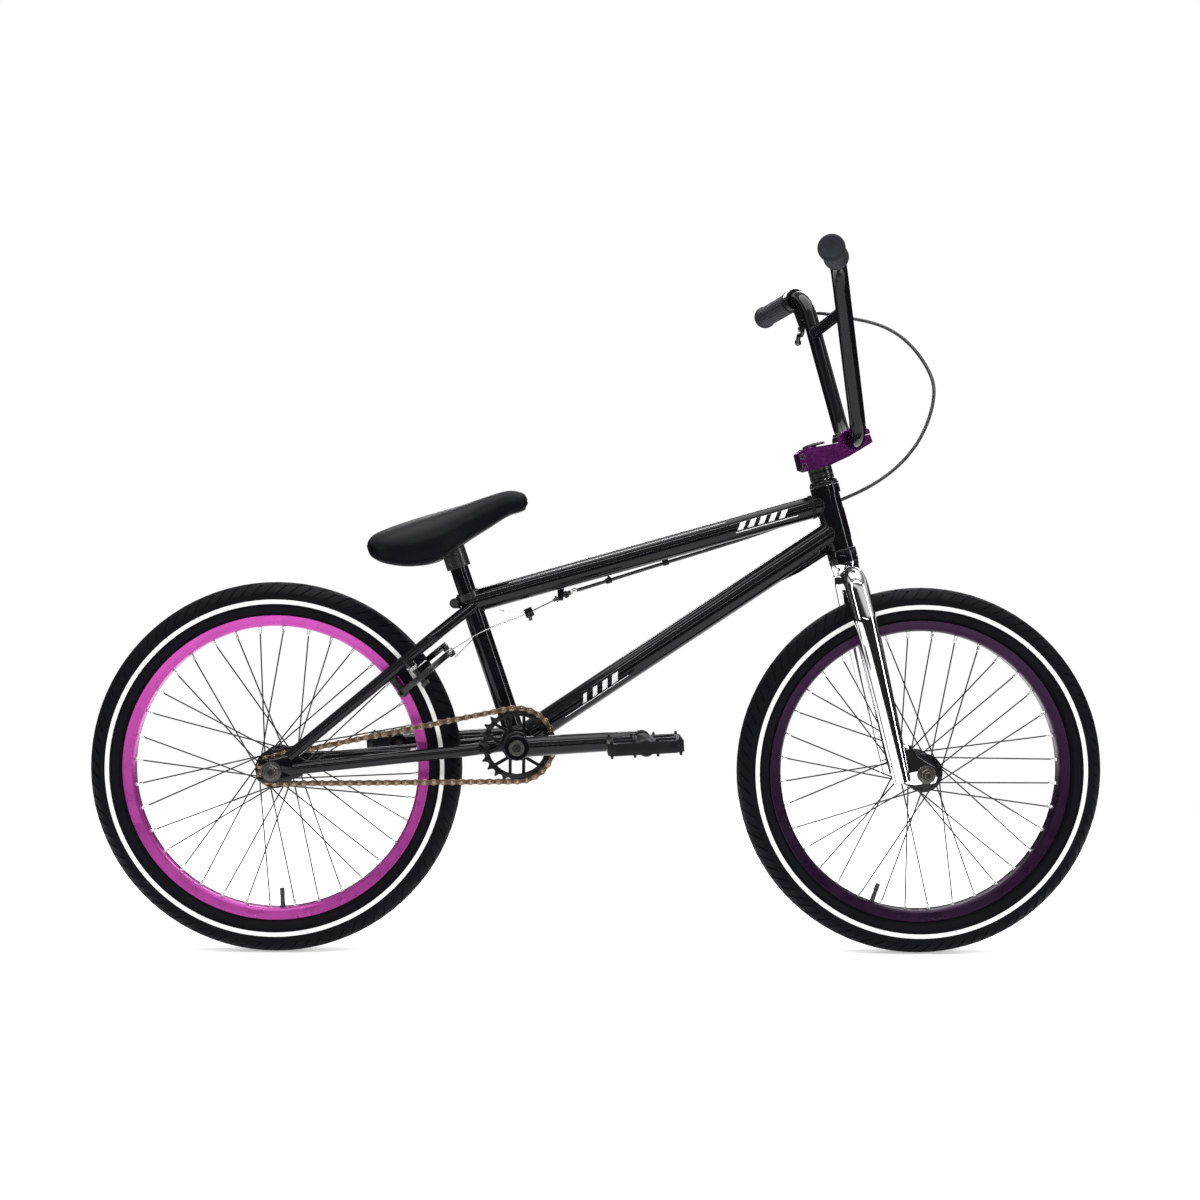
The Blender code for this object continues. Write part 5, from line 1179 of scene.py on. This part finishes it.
# ---------------------------------------------------------------- brake lever and cable
LEVER_AXIS = Vector((0.94, 0, 0.342)).normalized()
LEVER_DOWN = Vector((0.342, 0, -0.94)).normalized()
LEVER_PIVOT = joint_place["brake_lever_pull"]
LEVER_CLAMP = LEVER_PIVOT - LEVER_DOWN * 0.044 - Y_AXIS * 0.006
BARREL = LEVER_CLAMP + LEVER_DOWN * 0.03 - Y_AXIS * 0.02 + LEVER_AXIS * 0.014
CABLE_STOP = Vector((-0.057, 0, 0.4965))
WIRE_DIRECTION = Vector((0.9, 0, 0.4359)).normalized()
CABLE_RADIUS = 0.0025


def build_lever():
    refined("brake_lever_bracket", ALLOY, "steering", 0.0004)
    path = smooth_path([LEVER_PIVOT + Y_AXIS * 0.006, LEVER_PIVOT + Y_AXIS * 0.03 + LEVER_DOWN
                        * 0.006, LEVER_PIVOT + Y_AXIS * 0.06 + LEVER_DOWN * 0.004,
                        LEVER_PIVOT + Y_AXIS * 0.088 + LEVER_DOWN * 0.012], 10)
    count = len(path) - 1
    radii = [0.0052 - 0.0012 * sin(pi * i / count) for i in range(count + 1)]
    blade = Shape().tube(path, radii, 24, flat=0.72)
    blade.turn([(0, -0.0055), (0.0038, -0.0042), (0.0055, 0), (0.0038, 0.0042), (0, 0.0055)],
               path[-1], LEVER_DOWN, 24)
    piece("brake_lever_blade_cast", blade, ALLOY, "brake_lever", ["brake_lever_blade"])
    pin = Shape()
    for way in (-1, 1):
        pin.turn([(0, 0), (0.004, 0), (0.004, 0.0014), (0.0034, 0.002), (0, 0.002)],
                 LEVER_PIVOT - Y_AXIS * 0.004 + LEVER_AXIS * (way * 0.0062), LEVER_AXIS * way, 20)
    piece("brake_lever_pivot_pin", pin, BLACK_STEEL, "steering")


def build_cable():
    leave = Vector((0.7, -0.71, 0.05)).normalized()
    route = [BARREL + leave * 0.0022, BARREL + leave * 0.02, (0.352, 0.115, 0.905), (0.398, 0.095, 0.896),
             (0.442, 0.078, 0.869), (0.472, 0.062, 0.82), (0.476, 0.052, 0.788), (0.46, 0.043, 0.733),
             (0.423, 0.035, 0.685), (0.374, 0.0275, 0.652), (0.333, 0.0235, 0.635), (0.29, 0.021, 0.615),
             (0.245, 0.015, 0.596), (0.17, 0.0125, 0.5705), (0.09, 0.0085, 0.546),
             (0.01, 0.003, 0.52), CABLE_STOP + WIRE_DIRECTION * 0.0165,]
    path = smooth_path(route, 8)
    for _ in range(30):
        path = path[:1] + [(a + 2 * b + c) / 4 for a, b, c in zip(path, path[1:], path[2:])] + path[-1:]
    casing = piece("brake_cable_casing", Shape().tube(path, CABLE_RADIUS, 14), CASING, None,
                   ["brake_cable_housing"])
    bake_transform(casing)
    ferrule = Shape().turn([(0.0026, 0), (0.0033, 0), (0.0033, 0.008), (0.0026, 0.0085)],
                           path[-1], WIRE_DIRECTION, 20, ring=True)
    piece("cable_ferrule_rear", ferrule, BRIGHT, "frame")
    for node in ("cable_clip_front", "cable_clip_rear"):
        refined(node, NYLON, "frame", 0.0002)
    band = Shape().turn([(TOP_TUBE_RADIUS + 0.0001, 0), (TOP_TUBE_RADIUS + 0.001, 0.0004),
                         (TOP_TUBE_RADIUS + 0.001, 0.0046), (TOP_TUBE_RADIUS + 0.0001, 0.005)],
                        TOP_REAR.lerp(TOP_FRONT, 0.945), TOP_FRONT - TOP_REAR, 56, ring=True)
    piece("top_tube_cable_band", band, NYLON, "frame")


def build_barrel():
    low = CABLE_STOP - WIRE_DIRECTION * 0.0115
    shape = Shape()
    shape.turn([(0.0012, 0), (0.0024, 0), (0.0024, 0.0168), (0.0012, 0.0168)], low, WIRE_DIRECTION, 28,
               ring=True)
    first, second = basis(WIRE_DIRECTION)
    rings = []
    for at, scale in ((0.0168, 0.9), (0.0176, 1.0), (0.0222, 1.0), (0.023, 0.9)):
        ring = []
        for k in range(48):
            turn = 2 * pi * k / 48
            radius = (0.005 if k % 2 else 0.0045) * scale
            ring.append(low + WIRE_DIRECTION * at + (first * cos(turn) + second * sin(turn)) * radius)
        rings.append(ring)
    shape.loft(rings)
    shape.turn([(0.0012, 0.023), (0.0036, 0.023), (0.0034, 0.0245), (0.0034, 0.0272), (0.0012, 0.0275)],
               low, WIRE_DIRECTION, 28, ring=True)
    shape.hex(low + WIRE_DIRECTION * 0.004, WIRE_DIRECTION, 0.0046, 0.003)
    piece("barrel_adjuster_knurled", shape, ALLOY, "frame", ["barrel_adjuster"])


# ---------------------------------------------------------------- rear brake
ARM_FORWARD = {"right": 0.0305, "left": 0.0185}
PIVOT_ALONG = 0.236
PIVOT_SIDE = 0.044


def build_brake():
    shape = [(0.197, 0.04), (0.197, 0.029), (0.212, 0.029), (0.222, 0.034), (0.246, 0.033), (0.262, 0.026),
             (0.272, 0.013), (0.28, -0.006), (0.284, -0.019), (0.2915, -0.017), (0.2905, -0.002),
             (0.283, 0.02), (0.27, 0.04), (0.252, 0.053), (0.228, 0.0545), (0.212, 0.047)]
    for name, side in SIDES.items():
        forward = ARM_FORWARD[name]
        body = f"{name}_brake_arm"
        outline = []
        for (a, b), (c, d) in zip(shape, shape[1:] + shape[:1]):
            outline += [(a + (c - a) * t, side * (b + (d - b) * t)) for t in (0.22, 0.78)]
        axes = Matrix((STAY_DIRECTION, Y_AXIS, STAY_DIRECTION.cross(Y_AXIS))).transposed().to_4x4()
        place = Matrix.Translation(brake_point(0, forward, 0)) @ axes
        bore = arc(PIVOT_ALONG, side * PIVOT_SIDE, 0.0039, 0, 18, 20)
        arm = Shape().plate([outline, bore], 0.0085, place, 0.0011)
        anchor = brake_point(0.286, forward, -side * 0.013)
        arm.hex(anchor + BRAKE_FORWARD * 0.0038, BRAKE_FORWARD, 0.0045, 0.0034, 0.0022)
        piece(f"brake_arm_{name}_forged", arm, ALLOY, body, [f"brake_arm_{name}"])

        spring = Shape()
        coil = []
        for k in range(73):
            turn = 2 * pi * k / 24
            centre = brake_point(PIVOT_ALONG, 0.012 + 0.0018 * k / 24, side * PIVOT_SIDE)
            coil.append(centre + STAY_DIRECTION * (0.0068 * cos(turn)) + Y_AXIS * (0.0068 * sin(turn)))
        coil.append(brake_point(PIVOT_ALONG + 0.022, 0.0175, side * (PIVOT_SIDE + 0.006)))
        spring.tube(coil, 0.0007, 8)
        piece(f"brake_spring_{name}", spring, BRIGHT, "frame")

        inner = 0.0155 + 0.0016
        refined(f"brake_pad_{name}", PAD, body, 0.0006)
        grooves = Shape()
        for k in (-0.012, -0.004, 0.004, 0.012):
            at = brake_point(0.2025, 0.018 + k, side * (inner + 0.0078))
            grooves.tube([at - STAY_DIRECTION * 0.004, at + STAY_DIRECTION * 0.004], 0.0007, 8)
        piece(f"brake_pad_{name}_ribs", grooves, PAD, body)
        nut = Shape().hex(brake_point(0.2025, forward, side * 0.04), Y_AXIS * side, 0.0058, 0.0044, 0.0028)
        piece(f"brake_pad_{name}_nut", nut, BLACK_STEEL, body)
        refined(f"brake_pivot_bolt_{name}", BLACK_STEEL, "frame", 0.0005)


def build_straddle():
    refined("straddle_hanger", ALLOY, "straddle", 0.0004)
    hanger = Vector((-0.101, 0, 0.4745))
    nut = Shape().hex(hanger + Vector((0.002, -0.0052, -0.003)), -Y_AXIS, 0.0042, 0.004, 0.002)
    nut.tube([hanger + Vector((0.0016, -0.006, -0.005)), hanger + Vector((0.0028, -0.006, -0.011))],
             0.0026, 14)
    piece("straddle_hanger_nut", nut, BLACK_STEEL, "straddle")
    for name, side in SIDES.items():
        other = ARM_FORWARD["left" if side < 0 else "right"]
        lift = brake_point(0.286, other + 0.00425 + 0.0058, side * 0.013)
        start = hanger - WIRE_DIRECTION * 0.0066 + Y_AXIS * side * 0.003
        passing = on_seat(0.447) + Y_AXIS * side * (SEAT_TUBE_RADIUS + 0.003)
        path = rounded_path([start, passing, lift], 0.03, 8)
        piece(f"straddle_wire_{name}_cable", Shape().tube(path, 0.0008, 10), BRIGHT, "straddle",
              [f"straddle_wire_{name}"])
    tail = rounded_path([hanger + Vector((-0.006, -0.004, 0.001)), hanger
                         + Vector((-0.02, -0.006, -0.001)), hanger + Vector((-0.034, -0.007, 0.002))], 0.02,
                        5)
    end = Shape().tube(tail, 0.0006, 8)
    end.tube([tail[-1], tail[-1] + Vector((-0.007, 0, 0.001))], 0.0011, 10)
    piece("straddle_wire_tail", end, BRIGHT, "straddle")


# ---------------------------------------------------------------- seat
STATIONS = [(-0.3245, 0.5725, 0.561, 0.022), (-0.317, 0.581, 0.55, 0.05), (-0.297, 0.5905, 0.541, 0.066),
            (-0.262, 0.603, 0.5375, 0.072), (-0.226, 0.614, 0.545, 0.061), (-0.191, 0.625, 0.57, 0.042),
            (-0.16, 0.636, 0.59, 0.029), (-0.132, 0.644, 0.608, 0.023), (-0.115, 0.6425, 0.614, 0.018),
            (-0.108, 0.639, 0.6175, 0.013), (-0.1045, 0.633, 0.623, 0.007)]
BASE_THICK = 0.0036


def saddle_sections(per_span=6):
    """Smoothed (x, top, bottom, half width) along the saddle."""
    first = smooth_path([(s[0], s[1], s[2]) for s in STATIONS], per_span)
    widths = smooth_path([(s[0], s[3], 0) for s in STATIONS], per_span)
    return [(a.x, a.y, a.z, max(b.y, 0.002)) for a, b in zip(first, widths)]


def build_saddle():
    """Foam pad under a stretched cover: crowned top, sides tucked in above the shell, sewn edge."""
    around = 40
    rings, edge = [], {-1: [], 1: []}
    for x, top, low, half in saddle_sections():
        floor = low + BASE_THICK + 0.0003
        height = max(top - floor, 0.002)
        ring = []
        for i in range(around + 1):
            angle = pi * i / around
            tuck = 1.0 - 0.07 * max(0.0, 1 - sin(angle) / 0.3)
            ring.append(Vector((x, half * cos(angle) * tuck, floor + height * sin(angle) ** 0.72)))
        ring += [Vector((x, -half * 0.55, floor)), Vector((x, half * 0.55, floor))]
        rings.append(ring)
        for side in (-1, 1):
            edge[side].append(Vector((x, side * half * 0.935, floor + 0.0004)))
    saddle = piece("saddle_padded", Shape().loft(rings), LEATHER, "seat", ["saddle"], sharp=60)
    piping = Shape().tube(edge[-1] + list(reversed(edge[1])), 0.0011, 10, closed=True)
    piece("saddle_edge_piping", piping, LEATHER, "seat")
    stitches = Shape()
    for side in (-1, 1):
        line = edge[side]
        for a, b in zip(line[4:-6], line[5:-5]):
            for start, end in ((0.1, 0.42), (0.6, 0.92)):
                lift = Vector((0, side * 0.0011, 0.0016))
                stitches.tube([a.lerp(b, start) + lift, a.lerp(b, end) + lift], 0.00035, 6)
    piece("saddle_stitches", stitches, NYLON, "seat")
    rings = []
    for x, _, low, half in saddle_sections()[3:-4]:
        lip = low + BASE_THICK
        section = ((0.92, lip), (0.8924, low + 0.0008), (0.644, low), (0, low - 0.0002), (-0.644, low),
                   (-0.8924, low + 0.0008), (-0.92, lip), (0, lip))
        rings.append([Vector((x, half * share, z)) for share, z in section])
    piece("saddle_base_shell", Shape().loft(rings), NYLON, "seat", ["saddle_base"])
    refined("saddle_clamp", ALLOY, "seat", 0.0008)
    low, top = on_seat(0.365), on_seat(0.549)
    tall = (top - low).length
    post = Shape().turn([(0.0112, 0), (0.0121, 0), (0.0127, 0.0006), (0.0127, tall - 0.0006),
                         (0.0121, tall), (0, tall)], low, SEAT_UP, 56)
    piece("seat_post_tube", post, PAINT, "seat", ["seat_post"])
    refined("seat_clamp_bolt", BLACK_STEEL, "frame", 0.0005)
    collar = Shape().turn([(0.0157, 0), (0.0172, 0), (0.0176, 0.0005), (0.0176, 0.0095), (0.0172, 0.01),
                           (0.0157, 0.01)], on_seat(SEAT_TUBE_TOP_Z - 0.0115), SEAT_UP, 56, ring=True)
    piece("seat_clamp_collar", collar, ALLOY, "frame")


build_stage()
build_frame()
build_stripes()
build_badge()
build_wheels()
build_chain()
build_sprocket()
build_cranks()
build_fork()
build_headset()
build_stem()
build_handlebar()
build_grips()
build_lever()
build_cable()
build_barrel()
build_brake()
build_straddle()
build_saddle()
